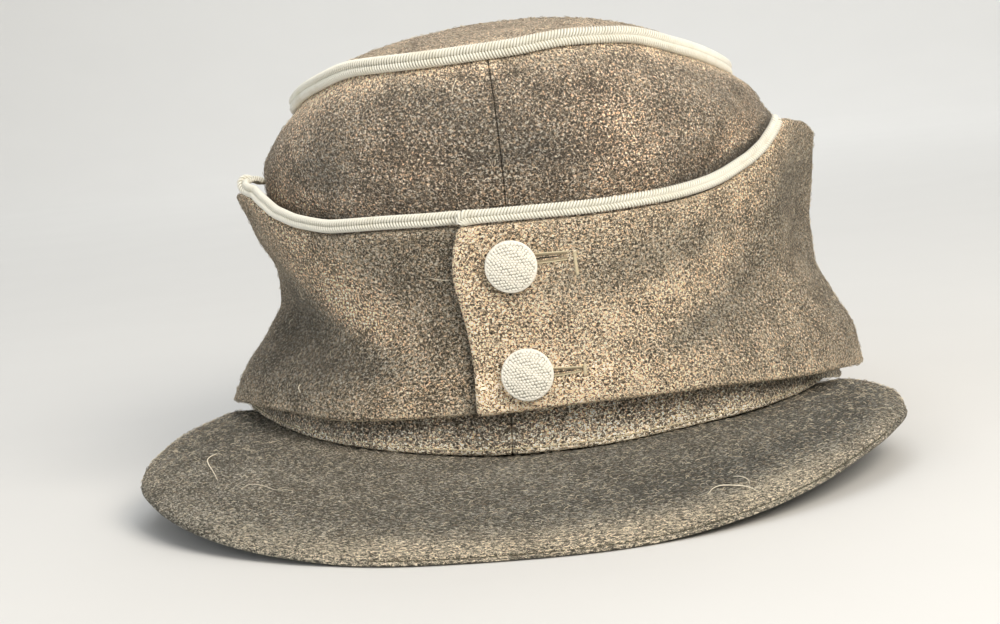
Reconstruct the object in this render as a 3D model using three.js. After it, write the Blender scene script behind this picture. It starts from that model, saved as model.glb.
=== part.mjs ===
import * as THREE from 'three';

// Field cap with a buttoned turn-up, resting by itself on its back rim and the front of its peak.
// Millimetres. +Z is up, -Y is the front of the cap, and angles turn from the front towards +X.

// Cloth and trim sizes
const GAP = 0.3; // clearance between neighbouring pieces
const PRESS_GAP = 1.0; // between the wall and the turn-up that lies on it
const TURN_UP_CLOTH = 2.6; // doubled cloth of the turn-up
const TOP_CLOTH = 2.2; // panel that closes the crown
const PEAK_THICKNESS = 3.6; // stiffened peak with cloth on both sides
const PIPING_RADIUS = 1.5; // braid cord round the crown seam
const EDGE_PIPING_RADIUS = 1.4; // braid cord on the front of the turn-up
const PLAN_POWER = 2.25; // 2 is an ellipse, more is squarer
const CENTRE_Y = 24.7; // moves the cap so that the origin is under its middle

// Facets: steps round, steps up
const CROWN_STEPS = { round: 32, up: 8 };
const TURN_UP_STEPS = { round: 70, up: 7 };
const TOP_STEPS = { round: 60 };
const PEAK_STEPS = { round: 40, out: 5 };
const CORD_SIDES = 7;
const BUTTON_SIDES = 20;

// Crown wall, a row for each section. up is the share of the way from rim to top seam,
// then the reach of the outline to each side, the wall's level thickness, and how far the front
// seam strays sideways.
const CROWN_SECTIONS = [
  { up: 0.0, left: 78.5, right: 79.5, front: 98.0, back: 99.8, wall: 2.2, seam: 0.0 },
  { up: 0.24, left: 72.0, right: 76.0, front: 97.0, back: 99.8, wall: 2.2, seam: 1.6 },
  { up: 0.48, left: 62.6, right: 70.4, front: 96.0, back: 98.6, wall: 2.2, seam: 3.6 },
  { up: 0.66, left: 67.4, right: 71.2, front: 95.4, back: 97.0, wall: 2.2, seam: 3.8 },
  { up: 0.8, left: 68.2, right: 69.2, front: 91.6, back: 92.8, wall: 2.3, seam: 3.2 },
  { up: 0.9, left: 64.4, right: 63.2, front: 85.2, back: 86.4, wall: 2.5, seam: 2.2 },
  { up: 1.0, left: 57.4, right: 54.6, front: 75.6, back: 77.0, wall: 2.8, seam: 0.6 },
];

// Height of the crown's rim round the head, where it meets the peak in front
const PEAK_ROOT = [
  { angle: -69, z: 18.8 },
  { angle: -58, z: 18.6 },
  { angle: -48, z: 17.6 },
  { angle: -36, z: 16.0 },
  { angle: -24, z: 14.4 },
  { angle: -12, z: 12.8 },
  { angle: 0, z: 11.6 },
  { angle: 12, z: 11.8 },
  { angle: 24, z: 12.8 },
  { angle: 36, z: 13.4 },
  { angle: 50, z: 13.8 },
  { angle: 69, z: 14.4 },
];
const RIM_RIGHT = [
  { angle: 69, z: 14.7 },
  { angle: 79, z: 12.0 },
  { angle: 92, z: 7.8 },
  { angle: 110, z: 3.2 },
  { angle: 130, z: 0.5 },
  { angle: 146, z: 0.0 },
  { angle: 180, z: 0.0 },
];
const RIM_LEFT = [
  { angle: 69, z: 19.1 },
  { angle: 79, z: 15.2 },
  { angle: 92, z: 9.6 },
  { angle: 110, z: 3.9 },
  { angle: 130, z: 0.6 },
  { angle: 146, z: 0.0 },
  { angle: 180, z: 0.0 },
];

// Height of the seam that joins the wall to the top panel
const TOP_SEAM = [
  { angle: -180, z: 86.0 },
  { angle: -135, z: 87.6 },
  { angle: -100, z: 91.2 },
  { angle: -72, z: 94.6 },
  { angle: -48, z: 99.5 },
  { angle: -30, z: 102.8 },
  { angle: -12, z: 103.2 },
  { angle: 4, z: 104.0 },
  { angle: 18, z: 105.2 },
  { angle: 32, z: 104.6 },
  { angle: 50, z: 100.6 },
  { angle: 77, z: 94.6 },
  { angle: 105, z: 90.6 },
  { angle: 140, z: 87.4 },
  { angle: 180, z: 86.0 },
];

// Top panel, a row for each ring from the edge in: share of the way in, and of the rise to its summit
const TOP_RINGS = [
  { inward: 0.0, rise: 0.0 },
  { inward: 0.1, rise: 0.24 },
  { inward: 0.25, rise: 0.51 },
  { inward: 0.46, rise: 0.77 },
  { inward: 0.72, rise: 0.94 },
];
const TOP_SUMMIT = 112.2;

// Turn-up, a row for each section from its fold at the bottom to its free top edge
const TURN_UP_SECTIONS = [
  { up: 0.0, left: 82.6, right: 85.4, front: 101.2, back: 103.2 },
  { up: 0.16, left: 78.6, right: 83.4, front: 100.8, back: 103.4 },
  { up: 0.32, left: 71.6, right: 78.6, front: 100.1, back: 103.2 },
  { up: 0.48, left: 66.8, right: 74.8, front: 99.6, back: 102.6 },
  { up: 0.62, left: 67.2, right: 74.6, front: 99.4, back: 101.8 },
  { up: 0.8, left: 71.6, right: 75.8, front: 99.3, back: 100.6 },
  { up: 1.0, left: 75.2, right: 77.2, front: 99.3, back: 99.4 },
];
const TURN_UP_BOTTOM = [
  { angle: -180, z: 0.6 },
  { angle: -140, z: 1.6 },
  { angle: -115, z: 7.0 },
  { angle: -90, z: 15.4 },
  { angle: -73, z: 20.0 },
  { angle: -57, z: 22.8 },
  { angle: -42, z: 23.2 },
  { angle: -24, z: 21.9 },
  { angle: -6, z: 22.4 },
  { angle: 12, z: 23.4 },
  { angle: 30, z: 22.8 },
  { angle: 48, z: 20.2 },
  { angle: 66, z: 17.7 },
  { angle: 86, z: 13.3 },
  { angle: 112, z: 6.4 },
  { angle: 140, z: 1.5 },
  { angle: 180, z: 0.6 },
];
const TURN_UP_TOP = [
  { angle: -180, z: 69.0 },
  { angle: -125, z: 70.6 },
  { angle: -90, z: 74.2 },
  { angle: -70, z: 77.6 },
  { angle: -58, z: 78.6 },
  { angle: -51, z: 76.2 },
  { angle: -44, z: 71.4 },
  { angle: -36, z: 67.6 },
  { angle: -28, z: 66.0 },
  { angle: -16, z: 66.2 },
  { angle: -4, z: 66.0 },
  { angle: 12, z: 66.0 },
  { angle: 26, z: 66.8 },
  { angle: 38, z: 69.0 },
  { angle: 48, z: 73.0 },
  { angle: 59, z: 80.6 },
  { angle: 68, z: 78.4 },
  { angle: 84, z: 74.0 },
  { angle: 120, z: 70.4 },
  { angle: 180, z: 69.0 },
];

// Where the turn-up starts on top, where it ends underneath, and how far it is lifted over that end
const OVERLAP = { start: -3.4, end: 374, lift: 3.1, liftEnds: 17, liftGone: 48, tuck: 3.5 };
// How far the free front edge stands back or forward, a row for each height
const OVERLAP_EDGE = [
  { z: 20, x: 0.5 },
  { z: 32, x: 0.2 },
  { z: 44, x: -0.8 },
  { z: 54, x: -2.4 },
  { z: 62, x: -0.8 },
  { z: 67, x: 1.0 },
];

// Soft folds and dents, a row for each: its middle, its reach each way, how far it pushes out,
// and how much higher it gets for each degree
const TURN_UP_FOLDS = [
  { angle: -52, z: 44, wide: 17, tall: 6.5, push: -2.4, slant: -0.32 }, // diagonal dent at the left
  { angle: -28, z: 29, wide: 14, tall: 6.0, push: 1.1, slant: -0.2 }, // roll of cloth under it
  { angle: 57, z: 60, wide: 7, tall: 22, push: 1.8, slant: 0 }, // soft corner below the right ear
  { angle: 74, z: 58, wide: 9, tall: 15, push: -1.8, slant: 0 }, // hollow side panel
  { angle: 72, z: 26, wide: 14, tall: 8, push: 1.2, slant: 0 }, // bulge over the peak's end
];
const CROWN_FOLDS = [
  { angle: 16, z: 88, wide: 12, tall: 9, push: -1.3, slant: 0 }, // worn hollow beside the seam
  { angle: -40, z: 90, wide: 14, tall: 8, push: 0.9, slant: 0 },
  { angle: 46, z: 88, wide: 12, tall: 8, push: 0.9, slant: 0 },
];

// Peak: outer edge seen from above, a row for each angle of its root, with the height of the
// top face at either side
const PEAK_EDGE = [
  { root: 0, y: -152.8, xRight: 0, xLeft: 0, zRight: 2.8, zLeft: 2.8 },
  { root: 5, y: -152.4, xRight: 10.3, xLeft: 10.1, zRight: 2.8, zLeft: 2.8 },
  { root: 10, y: -151.2, xRight: 20.5, xLeft: 20.0, zRight: 3.0, zLeft: 3.0 },
  { root: 20, y: -144.8, xRight: 39.5, xLeft: 38.5, zRight: 4.0, zLeft: 4.0 },
  { root: 28, y: -134.6, xRight: 55.5, xLeft: 56.0, zRight: 5.6, zLeft: 5.4 },
  { root: 36, y: -120.5, xRight: 69.4, xLeft: 72.2, zRight: 7.9, zLeft: 7.7 },
  { root: 44, y: -104.5, xRight: 80.2, xLeft: 83.8, zRight: 10.4, zLeft: 10.0 },
  { root: 51, y: -88.5, xRight: 87.8, xLeft: 91.0, zRight: 12.2, zLeft: 12.0 },
  { root: 57, y: -71.0, xRight: 92.0, xLeft: 93.4, zRight: 13.2, zLeft: 13.4 },
  { root: 61, y: -56.0, xRight: 91.8, xLeft: 92.6, zRight: 13.6, zLeft: 14.6 },
  { root: 64, y: -46.0, xRight: 88.4, xLeft: 88.4, zRight: 14.0, zLeft: 16.0 },
  { root: 66, y: -40.0, xRight: 83.5, xLeft: 83.0, zRight: 14.2, zLeft: 17.4 },
];
const PEAK_ENDS = 66; // angle of its root's ends
const PEAK_TUCK = 3.4; // how far the peak runs in under the wall
const PEAK_ARCH = 0.9; // rise of its face halfway out
const PEAK_CHAMFER = { inward: 0.055, drop: 1.0 };

// Buttons, a row for each: where it sits on the turn-up
const BUTTONS = [
  { name: 'button_upper', angle: 2.6, z: 56.2 },
  { name: 'button_lower', angle: 2.9, z: 31.4 },
];
// Half section of a button, from its back to its crown
const BUTTON_PROFILE = [
  { radius: 0.0, out: 0.0 },
  { radius: 4.6, out: 0.0 },
  { radius: 5.8, out: 0.7 },
  { radius: 6.0, out: 1.3 },
  { radius: 5.7, out: 1.7 },
  { radius: 3.6, out: 2.5 },
  { radius: 0.0, out: 2.9 },
];

const CLOTH = { color: 0x4b4437, roughness: 0.96, metalness: 0.0 };
const TURN_UP_COLOUR = { color: 0x544b3a, roughness: 0.96, metalness: 0.0 };
const PEAK_COLOUR = { color: 0x474539, roughness: 0.96, metalness: 0.0 };
const BRAID = { color: 0xb9bbaf, roughness: 0.55, metalness: 0.25 };
const BUTTON_METAL = { color: 0xc4c3b4, roughness: 0.5, metalness: 0.7 };

const radians = THREE.MathUtils.degToRad;

// Smooth value of a table's column, read at a place along its key column
function read(table, key, column, at) {
  const last = table.length - 1;
  if (at <= table[0][key]) return table[0][column];
  if (at >= table[last][key]) return table[last][column];
  let i = 0;
  while (at > table[i + 1][key]) i += 1;
  const slope = (a) => (table[a + 1][column] - table[a][column]) / (table[a + 1][key] - table[a][key]);
  const tangent = (a) => {
    if (a === 0) return slope(0);
    if (a === last) return slope(last - 1);
    const before = slope(a - 1);
    const after = slope(a);
    return before * after <= 0 ? 0 : (2 * before * after) / (before + after);
  };
  const span = table[i + 1][key] - table[i][key];
  const t = (at - table[i][key]) / span;
  const a = table[i][column];
  const b = table[i + 1][column];
  return (
    a * (1 + 2 * t) * (1 - t) ** 2 +
    b * t * t * (3 - 2 * t) +
    span * t * (1 - t) * (tangent(i) * (1 - t) - tangent(i + 1) * t)
  );
}

// Angle brought to between -180 and 180 degrees
const wrap = (angle) => THREE.MathUtils.euclideanModulo(angle + 180, 360) - 180;

// Plan outline through the named reaches, moved in by inset
function outline(sizes, angle, inset = 0) {
  const c = Math.cos(radians(angle));
  const s = Math.sin(radians(angle));
  const bend = (a) => Math.sign(a) * Math.abs(a) ** (2 / PLAN_POWER);
  const side = (s > 0 ? sizes.right : sizes.left) - inset;
  const along = (c > 0 ? sizes.front : sizes.back) - inset;
  return { x: bend(s) * side, y: -bend(c) * along };
}

function sectionAt(sections, up) {
  const sizes = {};
  for (const side of ['left', 'right', 'front', 'back']) sizes[side] = read(sections, 'up', side, up);
  return sizes;
}

function foldPush(folds, angle, z) {
  let push = 0;
  for (const fold of folds) {
    const across = (angle - fold.angle) / fold.wide;
    const above = (z - fold.z - fold.slant * (angle - fold.angle)) / fold.tall;
    push += fold.push * Math.exp(-across * across - above * above);
  }
  return push;
}

// Height of the wall's lower rim: on the peak in front, level with the table at the back
function rimHeight(angle) {
  const turned = Math.abs(angle);
  if (turned <= PEAK_ENDS + 3) return read(PEAK_ROOT, 'angle', 'z', angle) + GAP + 0.15;
  return read(angle > 0 ? RIM_RIGHT : RIM_LEFT, 'angle', 'z', turned);
}

// Reach of the turn-up's inner face at a height, or no limit where the turn-up doesn't cover it
function roomUnder(side, angle, z) {
  const bottom = read(TURN_UP_BOTTOM, 'angle', 'z', angle);
  const share = (z - bottom) / (read(TURN_UP_TOP, 'angle', 'z', angle) - bottom);
  if (share < -0.2 || share > 1.15) return Infinity;
  const face = read(TURN_UP_SECTIONS, 'up', side, THREE.MathUtils.clamp(share, 0, 1));
  return face + foldPush(TURN_UP_FOLDS, angle, z) - TURN_UP_CLOTH - PRESS_GAP;
}

// Outer face of the crown wall, moved in by inset; the turn-up presses the wall in with its folds
function crownPoint(angle, up, inset = 0) {
  const low = rimHeight(angle);
  const z = low + (read(TOP_SEAM, 'angle', 'z', angle) - low) * up;
  const sizes = sectionAt(CROWN_SECTIONS, up);
  for (const side of Object.keys(sizes)) {
    sizes[side] += foldPush(CROWN_FOLDS, angle, z);
    for (const near of [-5, 0, 5]) sizes[side] = Math.min(sizes[side], roomUnder(side, angle, z + near));
  }
  const p = outline(sizes, angle, inset);
  const infront = Math.max(0, Math.cos(radians(angle))) ** 4;
  return new THREE.Vector3(p.x + infront * read(CROWN_SECTIONS, 'up', 'seam', up), p.y, z);
}

// Outer face of the turn-up; turn runs on past 360 where its end lies underneath
function turnUpPoint(turn, up, inset = 0) {
  const angle = wrap(turn);
  const under = turn > 340;
  const tucked = under ? OVERLAP.tuck * THREE.MathUtils.smoothstep(turn, 357, 363) : 0;
  const low = read(TURN_UP_BOTTOM, 'angle', 'z', angle) + tucked * 0.5;
  const z = low + (read(TURN_UP_TOP, 'angle', 'z', angle) - tucked - low) * up;
  const over = under ? 0 : 1 - THREE.MathUtils.smoothstep(turn, OVERLAP.liftEnds, OVERLAP.liftGone);
  const out = foldPush(TURN_UP_FOLDS, angle, z) + OVERLAP.lift * over;
  const p = outline(sectionAt(TURN_UP_SECTIONS, up), angle, inset - out);
  const nearEdge = 1 - THREE.MathUtils.smoothstep(turn, OVERLAP.start, OVERLAP.start + 8);
  return new THREE.Vector3(p.x + nearEdge * read(OVERLAP_EDGE, 'z', 'x', z), p.y, z);
}

// Height share of the turn-up's face that lies at height z
function turnUpShare(turn, z) {
  const low = turnUpPoint(turn, 0).z;
  return (z - low) / (turnUpPoint(turn, 1).z - low);
}

// Closed solid between two grids of points with the same rows and columns
function slab(outer, inner, round) {
  const rows = outer.length;
  const cols = outer[0].length;
  const points = [];
  for (const grid of [outer, inner]) for (const row of grid) for (const p of row) points.push(p.x, p.y, p.z);
  const at = (side, r, c) => side * rows * cols + r * cols + (c % cols);
  const index = [];
  const quad = (a, b, c, d) => index.push(a, b, c, a, c, d);
  const spans = round ? cols : cols - 1;
  for (let c = 0; c < spans; c += 1) {
    for (let r = 0; r < rows - 1; r += 1) {
      quad(at(0, r, c), at(0, r, c + 1), at(0, r + 1, c + 1), at(0, r + 1, c));
      quad(at(1, r, c), at(1, r + 1, c), at(1, r + 1, c + 1), at(1, r, c + 1));
    }
    quad(at(0, 0, c), at(1, 0, c), at(1, 0, c + 1), at(0, 0, c + 1));
    quad(at(0, rows - 1, c), at(0, rows - 1, c + 1), at(1, rows - 1, c + 1), at(1, rows - 1, c));
  }
  if (!round) {
    for (let r = 0; r < rows - 1; r += 1) {
      quad(at(0, r, 0), at(0, r + 1, 0), at(1, r + 1, 0), at(1, r, 0));
      quad(at(0, r, cols - 1), at(1, r, cols - 1), at(1, r + 1, cols - 1), at(0, r + 1, cols - 1));
    }
  }
  return solid(points, index);
}

// Mesh data with its faces turned outwards
function solid(points, index) {
  const corner = (i) => new THREE.Vector3().fromArray(points, index[i] * 3);
  let volume = 0;
  for (let i = 0; i < index.length; i += 3) volume += corner(i).dot(corner(i + 1).cross(corner(i + 2)));
  if (volume < 0) {
    for (let i = 0; i < index.length; i += 3) [index[i + 1], index[i + 2]] = [index[i + 2], index[i + 1]];
  }
  const geometry = new THREE.BufferGeometry();
  geometry.setAttribute('position', new THREE.Float32BufferAttribute(points, 3));
  geometry.setIndex(index);
  return geometry;
}

// Round cord along a path; a closed path has no ends
function cord(path, radius, closed) {
  const points = [];
  const index = [];
  const count = path.length;
  const axis = new THREE.Vector3(0, 0, 1);
  path.forEach((p, i) => {
    const next = path[closed ? (i + 1) % count : Math.min(i + 1, count - 1)];
    const last = path[closed ? (i + count - 1) % count : Math.max(i - 1, 0)];
    const along = next.clone().sub(last).normalize();
    const side = along.clone().cross(axis).normalize();
    const top = side.clone().cross(along);
    for (let k = 0; k < CORD_SIDES; k += 1) {
      const a = (k / CORD_SIDES) * 2 * Math.PI;
      const q = p.clone().addScaledVector(side, Math.cos(a) * radius).addScaledVector(top, Math.sin(a) * radius);
      points.push(q.x, q.y, q.z);
    }
  });
  const at = (i, k) => (i % count) * CORD_SIDES + (k % CORD_SIDES);
  for (let i = 0; i < (closed ? count : count - 1); i += 1) {
    for (let k = 0; k < CORD_SIDES; k += 1) {
      index.push(at(i, k), at(i + 1, k), at(i + 1, k + 1), at(i, k), at(i + 1, k + 1), at(i, k + 1));
    }
  }
  if (!closed) {
    for (let k = 1; k < CORD_SIDES - 1; k += 1) {
      index.push(at(0, 0), at(0, k), at(0, k + 1));
      index.push(at(count - 1, 0), at(count - 1, k + 1), at(count - 1, k));
    }
  }
  return solid(points, index);
}

const steps = (count, from, to) => Array.from({ length: count + 1 }, (_, i) => from + ((to - from) * i) / count);
const onTable = (p) => new THREE.Vector3(p.x, p.y, Math.max(p.z, 0));

const cap = new THREE.Group();
cap.name = 'field_cap';

function add(name, geometry, finish) {
  const mesh = new THREE.Mesh(geometry.translate(0, CENTRE_Y, 0), new THREE.MeshStandardMaterial(finish));
  mesh.name = name;
  cap.add(mesh);
}

// Crown wall, in two halves that meet at the front and back seams
for (const [name, side] of [['crown_side_left', -1], ['crown_side_right', 1]]) {
  const grid = (faceIn) =>
    steps(CROWN_STEPS.up, 0, 1).map((up) =>
      steps(CROWN_STEPS.round, 0, 180 * side).map((angle) => {
        const inset = faceIn ? read(CROWN_SECTIONS, 'up', 'wall', up) : 0;
        const p = crownPoint(angle, up, inset);
        return onTable(p.setX(p.x + (side * GAP) / 2));
      }),
    );
  add(name, slab(grid(false), grid(true), false), CLOTH);
}

// Top panel, domed, sitting on the wall's top edge
{
  const angles = steps(TOP_STEPS.round, -180, 180).slice(0, -1);
  const seam = sectionAt(CROWN_SECTIONS, 1);
  const ring = (row, drop) =>
    angles.map((angle) => {
      const edge = outline(seam, angle, 0.4);
      const z = read(TOP_SEAM, 'angle', 'z', angle) + GAP + TOP_CLOTH;
      const lift = (TOP_SUMMIT - z) * row.rise;
      const kept = 1 - row.inward;
      return new THREE.Vector3(edge.x * kept, edge.y * kept, z + lift - drop);
    });
  const points = [];
  const index = [];
  const rings = TOP_RINGS;
  const count = angles.length;
  for (const drop of [0, TOP_CLOTH]) {
    for (const row of rings) for (const p of ring(row, drop)) points.push(...p.toArray());
  }
  for (const drop of [0, TOP_CLOTH]) points.push(0, 0, TOP_SUMMIT - drop);
  const at = (face, r, c) => (face * rings.length + r) * count + (c % count);
  const hub = (face) => 2 * rings.length * count + face;
  const quad = (a, b, c, d) => index.push(a, b, c, a, c, d);
  const inmost = rings.length - 1;
  for (let c = 0; c < count; c += 1) {
    for (let r = 0; r < inmost; r += 1) {
      quad(at(0, r, c), at(0, r, c + 1), at(0, r + 1, c + 1), at(0, r + 1, c));
      quad(at(1, r, c), at(1, r + 1, c), at(1, r + 1, c + 1), at(1, r, c + 1));
    }
    index.push(at(0, inmost, c), at(0, inmost, c + 1), hub(0));
    index.push(at(1, inmost, c), hub(1), at(1, inmost, c + 1));
    quad(at(0, 0, c), at(1, 0, c), at(1, 0, c + 1), at(0, 0, c + 1));
  }
  add('crown_top', solid(points, index), CLOTH);
}

// Braid round the crown, in the corner between wall and top panel
{
  const seam = sectionAt(CROWN_SECTIONS, 1);
  const path = steps(TOP_STEPS.round, -180, 180).slice(0, -1).map((angle) => {
    const p = outline(seam, angle, -PIPING_RADIUS);
    return new THREE.Vector3(p.x, p.y, read(TOP_SEAM, 'angle', 'z', angle) + 1.25);
  });
  add('crown_piping', cord(path, PIPING_RADIUS, true), BRAID);
}

// Turn-up, one doubled strip right round, its ends lapped in front
{
  const turns = steps(TURN_UP_STEPS.round, OVERLAP.start, OVERLAP.end);
  const grid = (inset) =>
    steps(TURN_UP_STEPS.up, 0, 1).map((up) => turns.map((turn) => onTable(turnUpPoint(turn, up, inset))));
  add('turn_up', slab(grid(0), grid(TURN_UP_CLOTH), false), TURN_UP_COLOUR);
}

// Braid on the scalloped front edges of the turn-up, curling in over the ears
const EDGE_PIPING = [
  { name: 'turn_up_piping_right', from: OVERLAP.start + 0.4, to: 59, turns: 18 },
  { name: 'turn_up_piping_left', from: -57, to: OVERLAP.start - 1.6, turns: 18 },
];
for (const run of EDGE_PIPING) {
  const edge = steps(run.turns, run.from, run.to).map((turn) =>
    turnUpPoint(turn < OVERLAP.start ? turn + 360 : turn, 1, 0.7),
  );
  const path = edge.map((p, i) => {
    const along = edge[Math.min(i + 1, run.turns)].clone().sub(edge[Math.max(i - 1, 0)]).normalize();
    const over = new THREE.Vector3(0, 0, 1).addScaledVector(along, -along.z).normalize();
    return p.clone().addScaledVector(over, EDGE_PIPING_RADIUS + GAP + 0.15);
  });
  add(run.name, cord(path, EDGE_PIPING_RADIUS, false), BRAID);
}

// Peak: a stiff plate under the wall's front rim
{
  const faces = (v, turn) => {
    const at = Math.abs(turn);
    const root = outline(sectionAt(CROWN_SECTIONS, 0), turn, PEAK_TUCK);
    const edge = {
      x: turn < 0 ? -read(PEAK_EDGE, 'root', 'xLeft', at) : read(PEAK_EDGE, 'root', 'xRight', at),
      y: read(PEAK_EDGE, 'root', 'y', at),
      z: read(PEAK_EDGE, 'root', turn < 0 ? 'zLeft' : 'zRight', at),
    };
    const rootZ = read(PEAK_ROOT, 'angle', 'z', turn);
    const reach = Math.hypot(edge.x - root.x, edge.y - root.y);
    const flat = PEAK_TUCK / reach;
    const run = Math.max(0, (v - flat) / (1 - flat));
    const z = rootZ + (edge.z - rootZ) * run + PEAK_ARCH * 4 * run * (1 - run);
    return { x: root.x + (edge.x - root.x) * v, y: root.y + (edge.y - root.y) * v, z };
  };
  const turns = steps(PEAK_STEPS.round, -PEAK_ENDS, PEAK_ENDS);
  const shares = [...steps(PEAK_STEPS.out, 0, 1 - PEAK_CHAMFER.inward), 1];
  const grid = (drop) =>
    shares.map((v) =>
      turns.map((turn) => {
        const p = faces(v, turn);
        const soften = v === 1 ? PEAK_CHAMFER.drop * (drop > 0 ? -1 : 1) : 0;
        return onTable(new THREE.Vector3(p.x, p.y, p.z - drop - soften));
      }),
    );
  add('peak', slab(grid(0), grid(PEAK_THICKNESS), false), PEAK_COLOUR);
}

// Pebbled dome buttons, standing on the turn-up's face
for (const button of BUTTONS) {
  const up = turnUpShare(button.angle, button.z);
  const seat = turnUpPoint(button.angle, up);
  const across = turnUpPoint(button.angle + 2, up).sub(turnUpPoint(button.angle - 2, up));
  const rising = turnUpPoint(button.angle, up + 0.05).sub(turnUpPoint(button.angle, up - 0.05));
  const facing = across.cross(rising).normalize();
  const geometry = new THREE.LatheGeometry(
    BUTTON_PROFILE.map((row) => new THREE.Vector2(row.radius, row.out)),
    BUTTON_SIDES,
  );
  geometry.applyQuaternion(new THREE.Quaternion().setFromUnitVectors(new THREE.Vector3(0, 1, 0), facing));
  const stand = seat.addScaledVector(facing, GAP);
  geometry.translate(stand.x, stand.y, stand.z);
  add(button.name, geometry, BUTTON_METAL);
}

export default cap;
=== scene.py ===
import math
import random

import bmesh
import bpy
import numpy as np
from mathutils import Matrix, Vector, noise
from mathutils.bvhtree import BVHTree


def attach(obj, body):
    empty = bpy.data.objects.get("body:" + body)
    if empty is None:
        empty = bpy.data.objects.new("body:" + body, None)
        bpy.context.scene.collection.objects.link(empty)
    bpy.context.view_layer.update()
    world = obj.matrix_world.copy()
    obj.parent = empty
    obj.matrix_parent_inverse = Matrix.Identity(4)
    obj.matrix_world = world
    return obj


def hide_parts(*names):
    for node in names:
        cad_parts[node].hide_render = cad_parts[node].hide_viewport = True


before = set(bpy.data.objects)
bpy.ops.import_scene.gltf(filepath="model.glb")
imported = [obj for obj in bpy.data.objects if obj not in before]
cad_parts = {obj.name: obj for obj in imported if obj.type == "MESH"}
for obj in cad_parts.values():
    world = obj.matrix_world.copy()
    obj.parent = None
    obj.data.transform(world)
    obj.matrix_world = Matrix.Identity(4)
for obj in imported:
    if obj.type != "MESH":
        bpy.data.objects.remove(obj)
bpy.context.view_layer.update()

bl_info = {
    "name": "Field cap",
    "version": (1, 0, 0),
    "blender": (4, 5, 0),
    "location": "3D View > Sidebar > Field cap",
    "description": "Makes a worn wool field cap with a buttoned turn-up, braid and pebbled buttons",
    "category": "Object",
}

# Lengths in the tables are millimetres, and angles turn from the front of the cap towards +X.
MM = 0.001
GAP = 0.3
PLAN_POWER = 2.25  # 2 is an ellipse, more is squarer
CENTRE_Y = 24.7
SIDES = ("left", "right", "front", "back")


def table(columns, *rows):
    """Columns of a table by name, as arrays."""
    return {name: np.array([row[i] for row in rows], float) for i, name in enumerate(columns.split())}


# Crown wall: share of the way from rim to top seam, reach to each side, and stray of the front seam
CROWN_SECTIONS = table(
    "up left right front back seam",
    (0.0, 78.5, 79.5, 98.0, 99.8, 0.0),
    (0.24, 72.0, 76.0, 97.0, 99.8, 1.6),
    (0.48, 62.6, 70.4, 96.0, 98.6, 3.6),
    (0.66, 67.4, 71.2, 95.4, 97.0, 3.8),
    (0.8, 68.2, 69.2, 91.6, 92.8, 3.2),
    (0.9, 64.4, 63.2, 85.2, 86.4, 2.2),
    (1.0, 57.4, 54.6, 75.6, 77.0, 0.6),
)
# Height of the wall's rim where it stands on the peak, and behind the peak's ends
PEAK_ROOT = table(
    "angle z",
    (-69, 18.8), (-58, 18.6), (-48, 17.6), (-36, 16.0), (-24, 14.4), (-12, 12.8), (0, 11.6), (12, 11.8),
    (24, 12.8), (36, 13.4), (50, 13.8), (69, 14.4),
)
RIM_RIGHT = table("angle z", (69, 14.7), (79, 12.0), (92, 7.8), (110, 3.2), (130, 0.5), (146, 0), (180, 0))
RIM_LEFT = table("angle z", (69, 19.1), (79, 15.2), (92, 9.6), (110, 3.9), (130, 0.6), (146, 0), (180, 0))
TOP_SEAM = table(
    "angle z",
    (-180, 86.0), (-135, 87.6), (-100, 91.2), (-72, 94.6), (-48, 99.5), (-30, 102.8), (-12, 103.2),
    (4, 104.0), (18, 105.2), (32, 104.6), (50, 100.6), (77, 94.6), (105, 90.6), (140, 87.4),
    (180, 86.0),
)
# Top panel: share of the way in from its edge, and of the rise to its summit
TOP_RINGS = table(
    "inward rise", (0.0, 0.0), (0.1, 0.24), (0.25, 0.51), (0.46, 0.77), (0.72, 0.94), (1.0, 1.0)
)
TOP_SUMMIT = 112.2
TOP_CLOTH = 2.2

# Turn-up: share of the way from its lower fold to its free edge, and reach to each side
TURN_UP_SECTIONS = table(
    "up left right front back",
    (0.0, 82.6, 85.4, 101.2, 103.2),
    (0.16, 78.6, 83.4, 100.8, 103.4),
    (0.32, 71.6, 78.6, 100.1, 103.2),
    (0.48, 66.8, 74.8, 99.6, 102.6),
    (0.62, 67.2, 74.6, 99.4, 101.8),
    (0.8, 71.6, 75.8, 99.3, 100.6),
    (1.0, 75.2, 77.2, 99.3, 99.4),
)
TURN_UP_BOTTOM = table(
    "angle z",
    (-180, 0.6), (-140, 1.6), (-115, 7.0), (-90, 15.4), (-73, 20.0), (-57, 22.8), (-42, 23.2),
    (-24, 21.9), (-6, 22.4), (12, 23.4), (30, 22.8), (48, 20.2), (66, 17.7), (86, 13.3), (112, 6.4),
    (140, 1.5), (180, 0.6),
)
TURN_UP_TOP = table(
    "angle z",
    (-180, 69.0), (-125, 70.6), (-90, 74.2), (-70, 77.6), (-58, 78.6), (-51, 76.2), (-44, 71.4),
    (-36, 67.6), (-28, 66.0), (-16, 66.2), (-4, 66.0), (12, 66.0), (26, 66.8), (38, 69.0), (48, 73.0),
    (59, 80.6), (68, 78.4), (84, 74.0), (120, 70.4), (180, 69.0),
)
# Where the turn-up starts on top and ends underneath, how far it bows and is lifted there and where that
# ends, and how its end is tucked in; turns past "under" lie underneath or lead there
OVERLAP = {
    "start": -3.4, "end": 374, "under": 340, "bow_gone": 8, "lift": 3.1, "lift_ends": 17, "lift_gone": 48,
    "tuck": 3.5, "tuck_starts": 357, "tuck_ends": 363,
}
OVERLAP_EDGE = table(
    "z x", (20, 0.5), (32, 0.0), (40, -1.2), (46, -2.2), (54, -3.3), (60, -2.6), (64, -1.4), (67, -0.2)
)

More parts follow.
